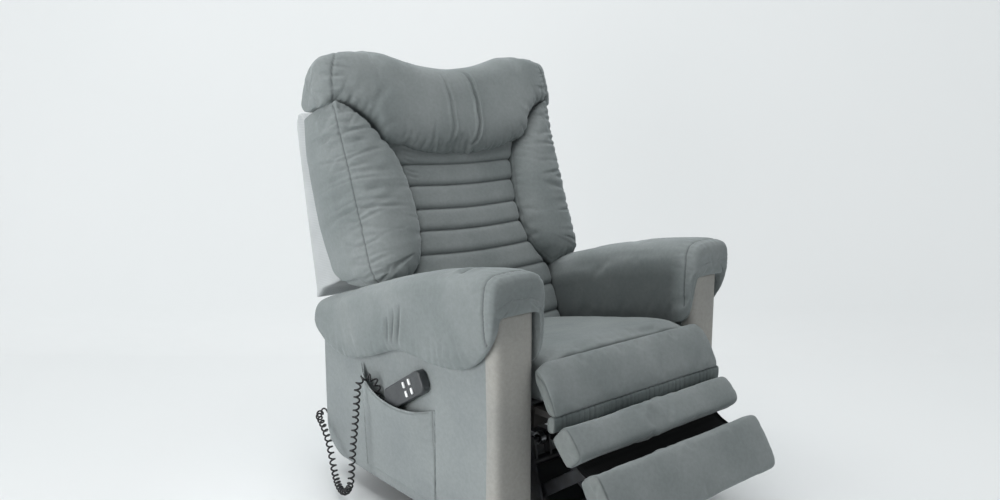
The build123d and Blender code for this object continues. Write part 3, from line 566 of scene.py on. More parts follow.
def combined(tree: bpy.types.NodeTree, operation: str, first: Any, second: Any) -> Any:
    """One sum, product or choice of two values."""
    return add_node(tree, "ShaderNodeMath", {"operation": operation}, {0: first, 1: second}).outputs[0]


def blended(tree: bpy.types.NodeTree, factor: Any, first: bpy.types.Node, second: bpy.types.Node) -> Any:
    """Mix of two shaders, as a node."""
    inputs = {0: factor, 1: first.outputs[0], 2: second.outputs[0]}
    return add_node(tree, "ShaderNodeMixShader", None, inputs)


def raised(tree: bpy.types.NodeTree, height: Any, strength: float, distance: float, inputs: Any = ()) -> Any:
    """Normal of a surface raised by a height of up to distance metres."""
    values = {"Strength": strength, "Distance": distance, "Height": height, **dict(inputs)}
    return add_node(tree, "ShaderNodeBump", None, values).outputs[0]


def mottled(tree: bpy.types.NodeTree, base: Any, share: Any, low: float, high: float) -> Any:
    """A colour made low to high times as bright by a share from 0 to 1."""
    return mixed(tree, 1.0, base, mixed(tree, share, (low, low, low, 1), (high, high, high, 1)), "MULTIPLY")


def painted(tree: bpy.types.NodeTree, output: bpy.types.Node, values: dict[str, Any]) -> None:
    """Joins a principled shader with these inputs to the output."""
    shader = add_node(tree, "ShaderNodeBsdfPrincipled", None, values)
    tree.links.new(shader.outputs[0], output.inputs[0])


@dataclass(frozen=True)
class Velour:
    """Brushed polyester velour: short pile that lies in patches, lighter where it leans to the light."""
    name: str
    shade: str            # where the pile leans away
    light: str            # where it leans to the light
    sheen: float = 0.25
    patch: float = 150.0  # size of a brushed patch
    pile: float = 1.8     # pile tufts, drawn coarser than the real 0.3 mm so that they show

    def build(self) -> bpy.types.Material:
        """Two noise scales turn the pile, a fine one roughens it."""
        material, tree, output, coords = new_material(self.name)
        brushed = stretched(tree, noise(tree, coords, self.patch, 2.0, 0.45), 0.25, 0.75)
        base = mixed(tree, brushed, linear(self.shade), linear(self.light))
        fleck = stretched(tree, noise(tree, coords, 9.0, 4.0, 0.65), 0.25, 0.75)
        base = mottled(tree, base, fleck, 0.93, 1.05)
        # painted shade: the "seam" attribute darkens the colour towards #2a2e2e in seams, creases, folds and on
        # the arms' inner flaps
        sewn = add_node(tree, "ShaderNodeAttribute", {"attribute_name": "seam"}).outputs["Fac"]
        base = mixed(tree, sewn, base, linear("#2a2e2e"))
        crush = raised(tree, noise(tree, coords, 42.0, 3.0), 0.4, 0.0022)
        pile = raised(tree, noise(tree, coords, self.pile, 2.0), 0.45, 0.0006, {"Normal": crush})
        painted(tree, output, {
            "Base Color": base, "Roughness": 0.92, "IOR": 1.45, "Specular IOR Level": 0.2,
            "Sheen Weight": self.sheen, "Sheen Roughness": 0.45, "Sheen Tint": (0.86, 0.93, 0.95, 1.0),
            "Normal": pile})
        return material


@dataclass(frozen=True)
class WovenCloth:
    """Plain woven upholstery lining: two crossed sets of threads."""
    name: str
    colour: str
    gap: str
    thread: float = 1.1   # spacing, drawn coarser than the real 0.5 mm

    def build(self) -> bpy.types.Material:
        """Crossed sine waves darken the gaps and raise the threads."""
        material, tree, output, coords = new_material(self.name)
        waves = []
        inputs = {"Vector": coords, "Scale": 1000.0 / self.thread / 20.0, "Distortion": 0.6, "Detail": 1.0}
        for axis in "XZ":
            wave = add_node(tree, "ShaderNodeTexWave", {"bands_direction": axis}, inputs)
            waves.append(wave.outputs[1])
        weave = combined(tree, "MAXIMUM", *waves)
        base = mixed(tree, weave, linear(self.gap), linear(self.colour))
        base = mottled(tree, base, stretched(tree, noise(tree, coords, 90.0), 0.3, 0.7), 0.93, 1.03)
        painted(tree, output, {
            "Base Color": base, "Roughness": 0.88, "IOR": 1.46, "Specular IOR Level": 0.25,
            "Sheen Weight": 0.1, "Normal": raised(tree, weave, 0.3, 0.0004)})
        return material


@dataclass(frozen=True)
class Hard:
    """Steel, plastic, rubber or wood: a colour with wear, grain and its own gloss."""
    name: str
    colour: str
    worn: str
    metal: float = 0.0
    rough: float = 0.5
    ior: float = 1.5
    grain: float = 3.0                                   # size of the surface grain
    stretch: tuple[float, float, float] = (1.0, 1.0, 1.0)   # grain along an axis
    bump: float = 0.15

    def build(self) -> bpy.types.Material:
        """Noise of the grain's size mixes the two colours and moves the roughness a little."""
        material, tree, output, coords = new_material(self.name)
        mapping = add_node(tree, "ShaderNodeMapping", None, {"Vector": coords, "Scale": self.stretch})
        fine = noise(tree, mapping.outputs[0], self.grain, 4.0, 0.6)
        wide = stretched(tree, noise(tree, mapping.outputs[0], self.grain * 14, 3.0), 0.35, 0.7)
        base = mixed(tree, wide, linear(self.colour), linear(self.worn))
        rough = add_node(tree, "ShaderNodeMapRange", None,
                         {"Value": fine, "To Min": max(0.04, self.rough - 0.08), "To Max": self.rough + 0.08})
        values = {"Base Color": base, "Metallic": self.metal, "Roughness": rough.outputs[0],
                  "Normal": raised(tree, fine, self.bump, 0.0004)}
        if not self.metal:
            values["IOR"] = self.ior
        painted(tree, output, values)
        return material


class Finish(Enum):
    """The chair's finishes."""
    VELOUR = Velour("grey_velour", "#737a7a", "#828888")
    PANEL = Velour("grey_velour_panels", "#7f8586", "#8a9090", 0.25, 230.0)
    POST = Velour("warm_grey_velour", "#979793", "#a09f9a", 0.2, 140.0)
    GUSSET = Velour("stitched_grey_velour", "#6f7574", "#7a7f7e", 0.2, 60.0)
    # a darker copy of the velour: painted shade for the gathered strip under the seat's front panel
    SHADE = Velour("painted_shade_grey_velour", "#5f6767", "#737b7b", 0.2)
    BACK_CLOTH = WovenCloth("pale_woven_back_cloth", "#b1b5b6", "#a7abad")
    DARK_CLOTH = WovenCloth("black_woven_lining", "#191b1c", "#0c0d0e")
    BLACK_STEEL = Hard("black_powder_coated_steel", "#17181a", "#24262a", 0.0, 0.42, 1.5, 2.0, bump=0.25)
    ZINC = Hard("zinc_plated_steel", "#a9abad", "#8b8e91", 1.0, 0.34, grain=2.5)
    SPRING = Hard("drawn_spring_steel", "#6a6c70", "#4a4c50", 1.0, 0.36, grain=2.0)
    TIMBER = Hard("black_stained_plywood", "#1c1a19", "#2a2624", 0.0, 0.66, 1.5, 2.4, (1.0, 0.12, 1.0))
    PLASTIC = Hard("black_moulded_abs", "#1b1c1e", "#242629", 0.0, 0.44, 1.53, 1.4)
    HANDSET = Hard("charcoal_moulded_abs", "#3d4042", "#34373a", 0.0, 0.4, 1.53, 1.2)
    BUTTON = Hard("white_moulded_abs", "#eceeee", "#e2e4e4", 0.0, 0.35, 1.53, 1.2, bump=0.05)
    CORD = Hard("black_rubber_cord", "#141516", "#1d1e20", 0.0, 0.38, 1.52, 1.5, bump=0.1)
    FOOT = Hard("black_rubber_feet", "#1a1a1b", "#262627", 0.0, 0.7, 1.52, 1.8)


MATERIALS: dict[Finish, bpy.types.Material] = {}


def dressed(finish: Finish) -> bpy.types.Material:
    """The finish's material, built once."""
    if finish not in MATERIALS:
        MATERIALS[finish] = finish.value.build()
    return MATERIALS[finish]


def settle(obj: bpy.types.Object, body: str, replaces: Sequence[str] = ()) -> bpy.types.Object:
    """Rides a finished piece on its body and reports it.

    Args:
        obj: the piece, in place.
        body: CAD body that it moves with.
        replaces: CAD nodes that it stands for.

    Returns:
        The same object.
    """
    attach(obj, body)
    if replaces:
        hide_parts(*replaces)
    LOG.info("%s rides on %s", obj.name, body)
    return obj


# ---------------------------------------------------------------- camera and cord
@dataclass
class Viewpoint:
    """A 31 mm lens at chest height, in front of the chair and to its right."""
    lens: float = 30.96
    sensor: float = 36.0
    pitch: float = 9.894

    def build(self) -> None:
        """Makes the camera and sets it as the scene's."""
        data = bpy.data.cameras.new("camera")
        data.lens, data.sensor_width = self.lens, self.sensor
        camera = new_object("camera", data)
        camera.location = placed(np.array(CAMERA_AT))
        camera.rotation_euler = (radians(90 - self.pitch), 0, radians(-CAMERA_TURN))
        bpy.context.scene.camera = camera


@dataclass
class CurlyCord:
    """Handset cord: a helix of thin cord that hangs in a loop from the pocket to the gland."""
    wire: float = 4.8             # thickness of the cord itself
    radius: float = 7.0           # of the helix's middle line
    pitch: float = 18.5           # of a stretched turn
    tight: float = 9.5            # of a turn at the bottom of the loop, where nothing pulls
    steps: int = 16               # points in a turn
    straight: float = 12.0        # plain cord at the two ends
    route: tuple[tuple[float, float, float], ...] = (
        (-384.2, 404.3, 295.6), (-384.2, 414.6, 289.4), (-384.2, 426.6, 289.2), (-384.3, 437.1, 295),
        (-384.4, 443.3, 305.3), (-384.6, 443.5, 325), (-390.7, 450.6, 343.1), (-400.7, 461.7, 348.5),
        (-410.7, 474.8, 342.1), (-416.9, 482.9, 325), (-418, 486, 300), (-418, 492, 264),
        (-419, 500, 210), (-422, 508, 152), (-427, 508, 94), (-431, 509, 56), (-434, 522, 34),
        (-436, 542, 25), (-435, 566, 34), (-429, 594, 57), (-419, 625, 89),
        (-408, 659, 117), (-399, 695, 139), (-391, 731, 152), (-384, 759, 156),
        (-368.8, 776, 157), (-348.3, 779, 159), (-329.5, 773, 160), (-318, 765, 160),
        (-318, 754.3, 160))

    def line(self) -> Array:
        """The route's smooth line: points of a NURBS spline on the route's points, in metres."""
        curve = self.spline("cord_line", placed(np.array(self.route)), 0.0, 24)
        holder = new_object("cord_line", curve)
        mesh = bpy.data.meshes.new_from_object(holder.evaluated_get(bpy.context.evaluated_depsgraph_get()))
        points = np.empty(len(mesh.vertices) * 3)
        mesh.vertices.foreach_get("co", points)
        bpy.data.objects.remove(holder)
        bpy.data.meshes.remove(mesh)
        return points.reshape(-1, 3)

    @staticmethod
    def spline(name: str, points: Array, thickness: float, detail: int) -> bpy.types.Curve:
        """One open NURBS spline that follows the points."""
        curve = bpy.data.curves.new(name, "CURVE")
        curve.dimensions = "3D"
        curve.resolution_u = detail
        curve.bevel_depth = thickness / 2
        curve.bevel_resolution = 3
        curve.use_fill_caps = True
        spline = curve.splines.new("NURBS")
        spline.points.add(len(points) - 1)
        spline.points.foreach_set("co", np.c_[points, np.ones(len(points))].ravel())
        spline.order_u = 3
        spline.use_endpoint_u = True
        return curve

    def helix(self, line: Array) -> Array:
        """Points of the helix: radius times (cos, sin) of the turn in a frame carried along the line.

        The frame is the line's tangent and two square directions turned as little as possible.

        Args:
            line: (n, 3) metres.

        Returns:
            (m, 3) metres.
        """
        run = lengths(line) * 1000
        length = run[-1]
        low = np.clip((line[:, 2] * 1000 - 42) / 40, 0, 1)
        pitch = self.tight + (self.pitch - self.tight) * low
        wound_part = np.clip(run, self.straight, length - self.straight)
        turned = np.concatenate([[0], np.cumsum(np.diff(wound_part) / (pitch[1:] + pitch[:-1]) * 2)])
        turns = turned[-1]
        marks = np.linspace(0, turns, int(turns * self.steps) + 1)
        wound = np.interp(marks, turned + 1e-9 * run, wound_part)
        at = np.concatenate([[0, self.straight * 0.5], wound, [length - self.straight * 0.5, length]])
        middle = np.stack([np.interp(at, run, line[:, k]) for k in range(3)], -1)
        kernel = np.ones(5) / 5
        soft = np.stack([np.convolve(np.pad(middle[:, k], 2, "edge"), kernel, "valid") for k in range(3)], -1)
        tangent = np.gradient(soft, axis=0)
        tangent /= np.linalg.norm(tangent, axis=1, keepdims=True)
        side = np.empty_like(tangent)
        side[0] = np.cross(tangent[0], (1.0, 0.0, 0.0))
        side[0] /= np.linalg.norm(side[0])
        for k in range(1, len(side)):                      # carried frame: each step needs the last one
            square = side[k - 1] - tangent[k] * (side[k - 1] @ tangent[k])
            side[k] = square / np.linalg.norm(square)
        other = np.cross(tangent, side)
        angle = 2 * pi * np.concatenate([[0, 0], marks, [turns, turns]])
        ends = np.minimum(at, length - at) - self.straight
        size = self.radius / 1000 * np.clip(ends / 16.0, 0, 1) ** 0.8
        return middle + size[:, None] * (np.cos(angle)[:, None] * side + np.sin(angle)[:, None] * other)

    def build(self) -> None:
        points = self.helix(self.line())
        curve = self.spline("handset_cord_coil", points, self.wire / 1000, 2)
        cord = new_object("handset_cord_coil", curve)
        cord.data.materials.append(dressed(Finish.CORD))
        settle(cord, "chassis", ["handset_cord"])


# ---------------------------------------------------------------- back
@dataclass
class Backrest:
    """Head pillow, channelled lumbar pad, two side bolsters and the pale outer shell."""
    seams_u: tuple[float, ...] = (-40.0, 22.0, 100.0, 165.0, 232.0, 296.0, 355.0, 420.0, 479.0, 545.0)
    channel: float = 8.0        # height of a channel between its seams
    waist: tuple[tuple[float, float], ...] = (
        (-20, 245), (22, 246), (100, 246), (140, 244), (165, 236), (190, 214), (216, 201), (232, 193),
        (262, 184), (296, 177), (355, 176), (420, 181), (479, 192), (516, 208), (560, 230))
    inner_edge: tuple[tuple[float, float], ...] = (
        (159, 261), (176, 243), (190, 232), (216, 204), (260, 186), (313, 179), (368, 178), (423, 183),
        (479, 194), (516, 210), (541, 232), (577, 260), (613, 293), (635, 329), (645, 355))
    piping: tuple[tuple[float, float], ...] = (
        (159, 305), (176, 336), (190, 346), (216, 354), (275, 357), (366, 362), (470, 363), (575, 365),
        (645, 364))
    head_low: tuple[tuple[float, float], ...] = (
        (0, 490), (49, 492), (100, 499), (153, 510), (200, 524), (238, 538), (259, 577), (292, 613),
        (329, 635), (361, 644), (390, 646))
    head_top: tuple[tuple[float, float], ...] = (
        (0, 745), (14, 746), (80, 751), (140, 766), (200, 783), (260, 787), (308, 782), (340, 775),
        (367, 768), (375, 763), (382, 756), (387, 746), (389.5, 735))

    def bolster(self, side: int) -> Pad:
        """One bolster: loops in (x, v) at stations up the back, from its rounded foot to under the head."""
        u = np.array([159, 163, 170, 180, 193, 212, 240, 275, 315, 360, 405, 450, 490, 520, 545, 575, 605,
                      630, 645.0])
        x_in, pipe = profile(self.inner_edge, u), profile(self.piping, u)
        out = pipe + profile([(159, 2), (176, 12), (216, 22), (645, 24)], u)
        rear = profile([(159, 12), (178, 58), (202, 114), (236, 156), (305, 166), (378, 169), (468, 164),
                        (558, 154), (645, 122)], u)
        front = profile([(159, 4), (166, 20), (176, 34), (195, 50), (230, 58), (300, 54), (400, 50),
                         (500, 44), (560, 40), (610, 34), (645, 25)], u)
        seam_v = profile([(159, -2), (190, -14), (645, -16)], u)
        wide = pipe - x_in
        rear_x = np.maximum(x_in + 18, 256)
        step = np.minimum(rear, 94)
        x = [x_in + 2, x_in, x_in + .08 * wide, x_in + .26 * wide, x_in + .5 * wide, x_in + .74 * wide,
             x_in + .92 * wide, pipe + 1, pipe + 2, out - 5, out, out - 1, out - 9, (out + rear_x) / 2,
             rear_x, rear_x - 3, x_in + 5]
        behind = rear - seam_v
        v = [step * .5, 4, -.5 * front, -.95 * front, -1.04 * front, -.98 * front, seam_v - .42 * front,
             seam_v - 5, seam_v + 4, seam_v + .18 * behind, seam_v + .5 * behind, rear * .88, rear, rear,
             rear, step, step * .95]
        net = on_back(side * spread(*x), u[:, None], spread(*v))
        return Pad("side_bolster_" + ("left" if side > 0 else "right"), net, (2, 1), 3.4,
                   Stuffing(2, 0.04, 4), self.bolster_seams(side), lambda p: self.depth(p) > 40)

    def bolster_seams(self, side: int) -> list[Seam]:
        """Piping down a bolster's outer edge, its inner edge, and its edges at the head and the foot."""
        line_u = np.linspace(176, 640, 60)
        line_x = profile(self.piping, line_u) + 1
        piping = on_back(side * line_x, line_u, profile([(176, -10), (200, -15), (645, -17)], line_u))
        edge_u = np.linspace(168, 560, 50)
        inner = on_back(side * (profile(self.inner_edge, edge_u) + 3), edge_u, -8.0)
        top_x = np.linspace(240, 360, 20)
        upper = on_back(side * top_x, np.interp(top_x, *np.array(self.head_low).T) - 6, -10.0)
        foot = on_back(side * np.linspace(255, 345, 20), 172.0, -18.0)
        seed = 11 if side < 0 else 37
        return [Seam(piping, 2.8, 3.0, 17, 7.0, 5.5, 90, seed),
                Seam(inner, 6.0, 1.0, 26, 3.2, 6, 60, seed + 1, dark=.2),
                Seam(upper, 5.0, 1.0, 15, 4.0, 5, 52, seed + 2, dark=.2),
                Seam(foot, 5.0, 0.5, 12, 5.5, 4.5, 40, seed + 3, dark=.1)]

    @staticmethod
    def depth(points: Array) -> Array:
        """v of chair points: how far behind the back's front surface."""
        return (points[:, 1] - BACK_Y) * cos(LEAN) - (points[:, 2] - BACK_Z) * sin(LEAN)

    @staticmethod
    def height(points: Array) -> Array:
        """u of chair points: how far up the back."""
        return (points[:, 1] - BACK_Y) * sin(LEAN) + (points[:, 2] - BACK_Z) * cos(LEAN)

    def head(self) -> Pad:
        """Head pillow: loops in (u, v) at stations across the chair, two lobes with a dip between."""
        half = np.array([0, 50, 100, 153, 200, 238, 259, 292, 318, 340, 356, 367, 375, 382, 387, 389.5])
        x = np.concatenate([-half[:0:-1], half])
        low, top = profile(self.head_low, abs(x)), profile(self.head_top, abs(x))
        full = profile([(0, 58), (200, 62), (280, 58), (320, 49), (345, 40), (367, 29), (375, 22), (382, 13),
                        (387, 1), (389.5, -12)], abs(x))
        back = profile([(0, 102), (330, 103), (375, 113), (387, 106), (389.5, 96)], abs(x))
        tall = top - low
        u = [low + 4, low - 1, low + .05 * tall, low + .2 * tall, low + .45 * tall, low + .7 * tall,
             low + .9 * tall, top + 5, top + 2, top - 16, top - 60, low + .4 * tall, low + 14, low + 6]
        v = [26, 2 + np.clip(-full, 0, 20), -.62 * full, -.98 * full, -1.02 * full, -1.02 * full,
             -.92 * full - 4, -.35 * full - 8, .24 * back, .66 * back, .97 * back, back, .95 * back, 60]
        x = np.where(x > 340, x + (x - 340) * 0.2, x)
        net = on_back(x[:, None], spread(*u), spread(*v))
        return Pad("head_pillow", net, (1.5, 1.5), 3.4, Stuffing(2, 0.04, 4), self.head_seams(),
                   lambda p: self.depth(p) > 55)

    def head_seams(self) -> list[Seam]:
        """The pillow's lower seam, its two creases and the short seams at its upper corners."""
        fine = np.linspace(-367, 367, 150)
        seam = on_back(fine, profile(self.head_low, abs(fine)) + 8, -14.0)
        crease_a = on_back([-40, -30, -27, -30, -44, -60], np.array([715, 690, 638, 566, 515, 496.]), -58.0)
        crease_b = on_back([40, 56, 62, 58, 39, 12], np.array([728, 697, 638, 565, 515, 496.]), -58.0)
        side_x = np.array([318, 340, 356, 365, 366, 365.])
        side_u = np.array([779, 764, 738, 700, 668, 650.])
        side_v = np.array([-14, -32, -36, -32, -28, -20.])
        return [Seam(seam, 7, 2.0, 15, 6.0, 5, 58, 5, dark=.3),
                Seam(crease_a, 4.5, 6.0, taper=True, dark=.15),
                Seam(crease_b, 4, 10.0, taper=True, dark=.3),
                Seam(on_back(-side_x, side_u, side_v), 2.8, 3.0, 16, 3.6, 5, 44, 7),
                Seam(on_back(side_x, side_u, side_v), 2.8, 3.0, 16, 3.6, 5, 44, 8)]

    def lumbar(self) -> Pad:
        """Lumbar pad: loops in (x, v) up the back; channels swell between seams that sag in the middle."""
        u = np.array([-14, 0, 22, 60, 100, 140, 165, 190, 216, 232, 262, 296, 325, 355, 390, 420, 450, 479,
                      516, 548.0])
        w = profile(self.waist, u)
        x = [w, w - 1, w - 10, w * .72, w * .36, 0, -w * .36, -w * .72, -w + 10, -w + 1, -w, -w + 1,
             -w * .5, 0, w * .5, w - 1]
        v = np.array([46, 10, -2, -7, -8, -8, -8, -7, -2, 10, 46, 94, 97, 97, 97, 94.0])
        net = on_back(spread(*x), u[:, None], v)
        marks = [on_back([-186, -172, -150.], np.array([h, h - 12, h - 16.]), -8.0)
                 for h in (526, 512, 497, 468, 455)]
        ticks = [Seam(mark, 3, 1.2, taper=True, dark=.2) for mark in marks]
        return Pad("lumbar_channels", net, (4, 4), 2.9, None, ticks, None, self.channels)

    def channels(self, points: Array) -> tuple[Array, Array]:
        """Height of the channels: 1 - |2p - 1|^4.5 of the way p between two seams, on the front only, with painted
        shade along the seams.
        """
        u = self.height(points)
        w = profile(self.waist, u)
        u = u + 8.0 * (1 - np.clip(points[:, 0] / w, -1, 1) ** 2)
        edges = np.array(self.seams_u)
        i = np.clip(np.searchsorted(edges, u) - 1, 0, len(edges) - 2)
        p = np.clip((u - edges[i]) / (edges[i + 1] - edges[i]), 0, 1)
        swell = self.channel * (1 - np.abs(2 * p - 1) ** 4.5) * (1.1 - 0.3 * p)
        seen = np.clip((18 - self.depth(points)) / 14, 0, 1)
        # painted shade along the channel seams
        away = np.minimum(p, 1 - p) * (edges[i + 1] - edges[i])
        return swell * seen, 0.75 * seen * np.exp(-(away / 2.4) ** 2)

    def shell(self) -> Pad:
        """Outer shell: rounded loops in (x, y) at stations of height, flat panel and soft edges."""
        z = np.array([487, 500, 515, 530, 542, 560, 620, 700, 780, 860, 920, 945, 962, 974, 980.0])
        near = profile([(485, 782), (500, 770), (515, 754), (530, 714), (542, 684), (560, 660), (955, 796),
                        (968, 822), (985, 850)], z)
        far = profile([(485, 800), (700, 842), (940, 884), (968, 882), (985, 864)], z)
        net = rounded(z, -358.0, 358.0, near, far, 16.0, 5.0)
        return Pad("outer_back_shell", net, (3, 5), 7.0)

    def build(self) -> None:
        """Makes the pads of the back and its outer shell."""
        for pad, node, fill in (
                (self.bolster(-1), "bolster_right", 0.8), (self.bolster(1), "bolster_left", 0.8),
                (self.head(), "headrest", 0.85), (self.lumbar(), "lumbar_pad", 0.7)):
            settle(pad.build([Finish.VELOUR]), "backrest", [node])
        settle(self.shell().build([Finish.BACK_CLOTH]), "backrest", ["back_shell"])


def rounded(stations: Array, x0: Any, x1: Any, y0: Any, y1: Any, corner: float, belly: float) -> Array:
    """Loops of rounded rectangles in (x, y) at heights z, with slightly swollen long sides.

    Args:
        stations: heights.
        x0, x1, y0, y1: limits, numbers or one for each height.
        corner: length of the corner's rounding.
        belly: how far the two long sides swell.

    Returns:
        (rows, 16, 3) control points.
    """
    n = len(stations)
    x0, x1, y0, y1 = (np.broadcast_to(np.asarray(a, float), n) for a in (x0, x1, y0, y1))
    c = np.minimum(corner, 0.45 * (y1 - y0))
    mid = (x0 + x1) / 2
    quarter = .25 * (x1 - x0)
    x = [x0, x0, x0 + .3 * c, x0 + c, x0 + quarter, mid, x1 - quarter, x1 - c, x1 - .3 * c, x1, x1,
         x1 - .3 * c, x1 - c, mid, x0 + c, x0 + .3 * c]
    y = [y0 + .5 * c, y1 - c, y1 - .3 * c, y1, y1 + .8 * belly, y1 + belly, y1 + .8 * belly, y1,
         y1 - .3 * c, y1 - c, y0 + .5 * c, y0 + .1 * c, y0, y0, y0, y0 + .1 * c]
    return spread(spread(*x), spread(*y), stations[:, None])


# ---------------------------------------------------------------- seat
@dataclass
class Seat:
    """Seat cushion, bulging front panel and the gathered strip under it."""
    half: float = 249.0         # of the cushion's width

    def cushion(self) -> Pad:
        """Cushion: loops in (x, z) from front to rear, crowned, over the sloping deck."""
        y = np.array([-14, -4, 30, 80, 150, 230, 310, 390, 450, 480, 490.0])
        top = profile([(-14, 467), (-4, 469), (30, 474), (90, 469), (300, 431), (440, 402), (490, 392)], y)
        low = deck(y) + 1.0
        h = self.half
        x = np.array([-h, -h, -h + 6, -h + 30, -150, 0, 150, h - 30, h - 6, h, h, h - 8, 0, -h + 8])
        z = [low + 14, top - 40, top - 16, top - 3, top + 3, top + 5, top + 3, top - 3, top - 16, top - 40,
             low + 14, low, low, low]
        net = spread(x, y[:, None], spread(*z))
        return Pad("seat_pad", net, (1.5, 7), 5.0, Stuffing(2.5, 0.02, 6), [],
                   lambda p: p[:, 2] < deck(p[:, 1]) + 25)

    def panel(self) -> Pad:
        """Front panel: loops in (y, z) across the chair; it hangs forward from the seat's seam."""
        x = np.array([-277, -272, -262, -248, -220, -180, -90, 0, 90, 180, 220, 248, 262, 272, 277.0])
        y = np.array([-15, -14.5, -15, -22, -42, -59, -72, -78, -79, -76, -64, -55, -46, -36, -24.0])
        z = np.array([442, 462, 470, 471, 452, 422, 393, 377, 369, 368, 368, 371, 386, 408, 430.0])
        drop = 14 * (np.clip(np.abs(x) - 243, 0, 34) / 34) ** 2
        z = z - drop[:, None] * np.clip((z - 385) / 85, 0, 1)
        net = spread(x[:, None], y, z)
        corner = np.array([(274, -20, 448), (276, -46, 430), (276, -68, 394), (276, -77, 371.0)])
        ends = [Seam(corner * (s, 1, 1), 3, 2.4, 16, 1.6, 5, 26, 3) for s in (-1, 1)]
        return Pad("seat_front", net, (2, 2), 3.6, Stuffing(1.5, 0.02, 2.5), ends,
                   lambda p: (p[:, 1] > -26) | (p[:, 2] < 374) | (abs(p[:, 0]) > 268))

    def skirt(self) -> Pad:
        """Gathered strip under the front panel, with upright folds."""
        x = np.linspace(-280, 280, 12)
        y = np.array([-77.5, -79, -79, -77, -64, -60, -60, -64, -74.0])
        z = np.array([366, 360, 344, 334, 333, 342, 360, 367.5, 367.8])
        net = spread(x[:, None], y, z)
        return Pad("seat_skirt_gathers", net, (1, 1), 2.4, None, [], None, self.folds)

    @staticmethod
    def folds(points: Array) -> tuple[Array, Array]:
        """Sum of two sines along x whose phase drifts, so that no two folds are alike; the valleys get painted
        shade.
        """
        x = points[:, 0]
        drift = 2.2 * np.sin(x / 47.0) + 1.4 * np.sin(x / 21.0 + 1.0)
        fold = 0.6 * np.sin(2 * pi * x / 15.5 + drift) + 0.4 * np.sin(2 * pi * x / 8.7 - 1.7 * drift)
        strong = 0.45 + 0.55 * np.sin(x / 31.0 + 0.7) ** 2
        # the second value paints shade into the fold valleys
        return 1.5 * fold * strong, 0.28 * strong * np.clip(-fold, 0, 1)

    def build(self) -> None:
        """Makes the seat's three pieces."""
        for pad, finish, end_panels, node, fill in (
                (self.cushion(), Finish.VELOUR, 0.0, "seat_cushion", 0.8),
                (self.panel(), Finish.VELOUR, 277.2, "seat_front_panel", 0.8),
                (self.skirt(), Finish.SHADE, 280.2, "seat_skirt", 0.4)):
            settle(pad.build([finish, Finish.GUSSET], end_panels), "chassis", [node])


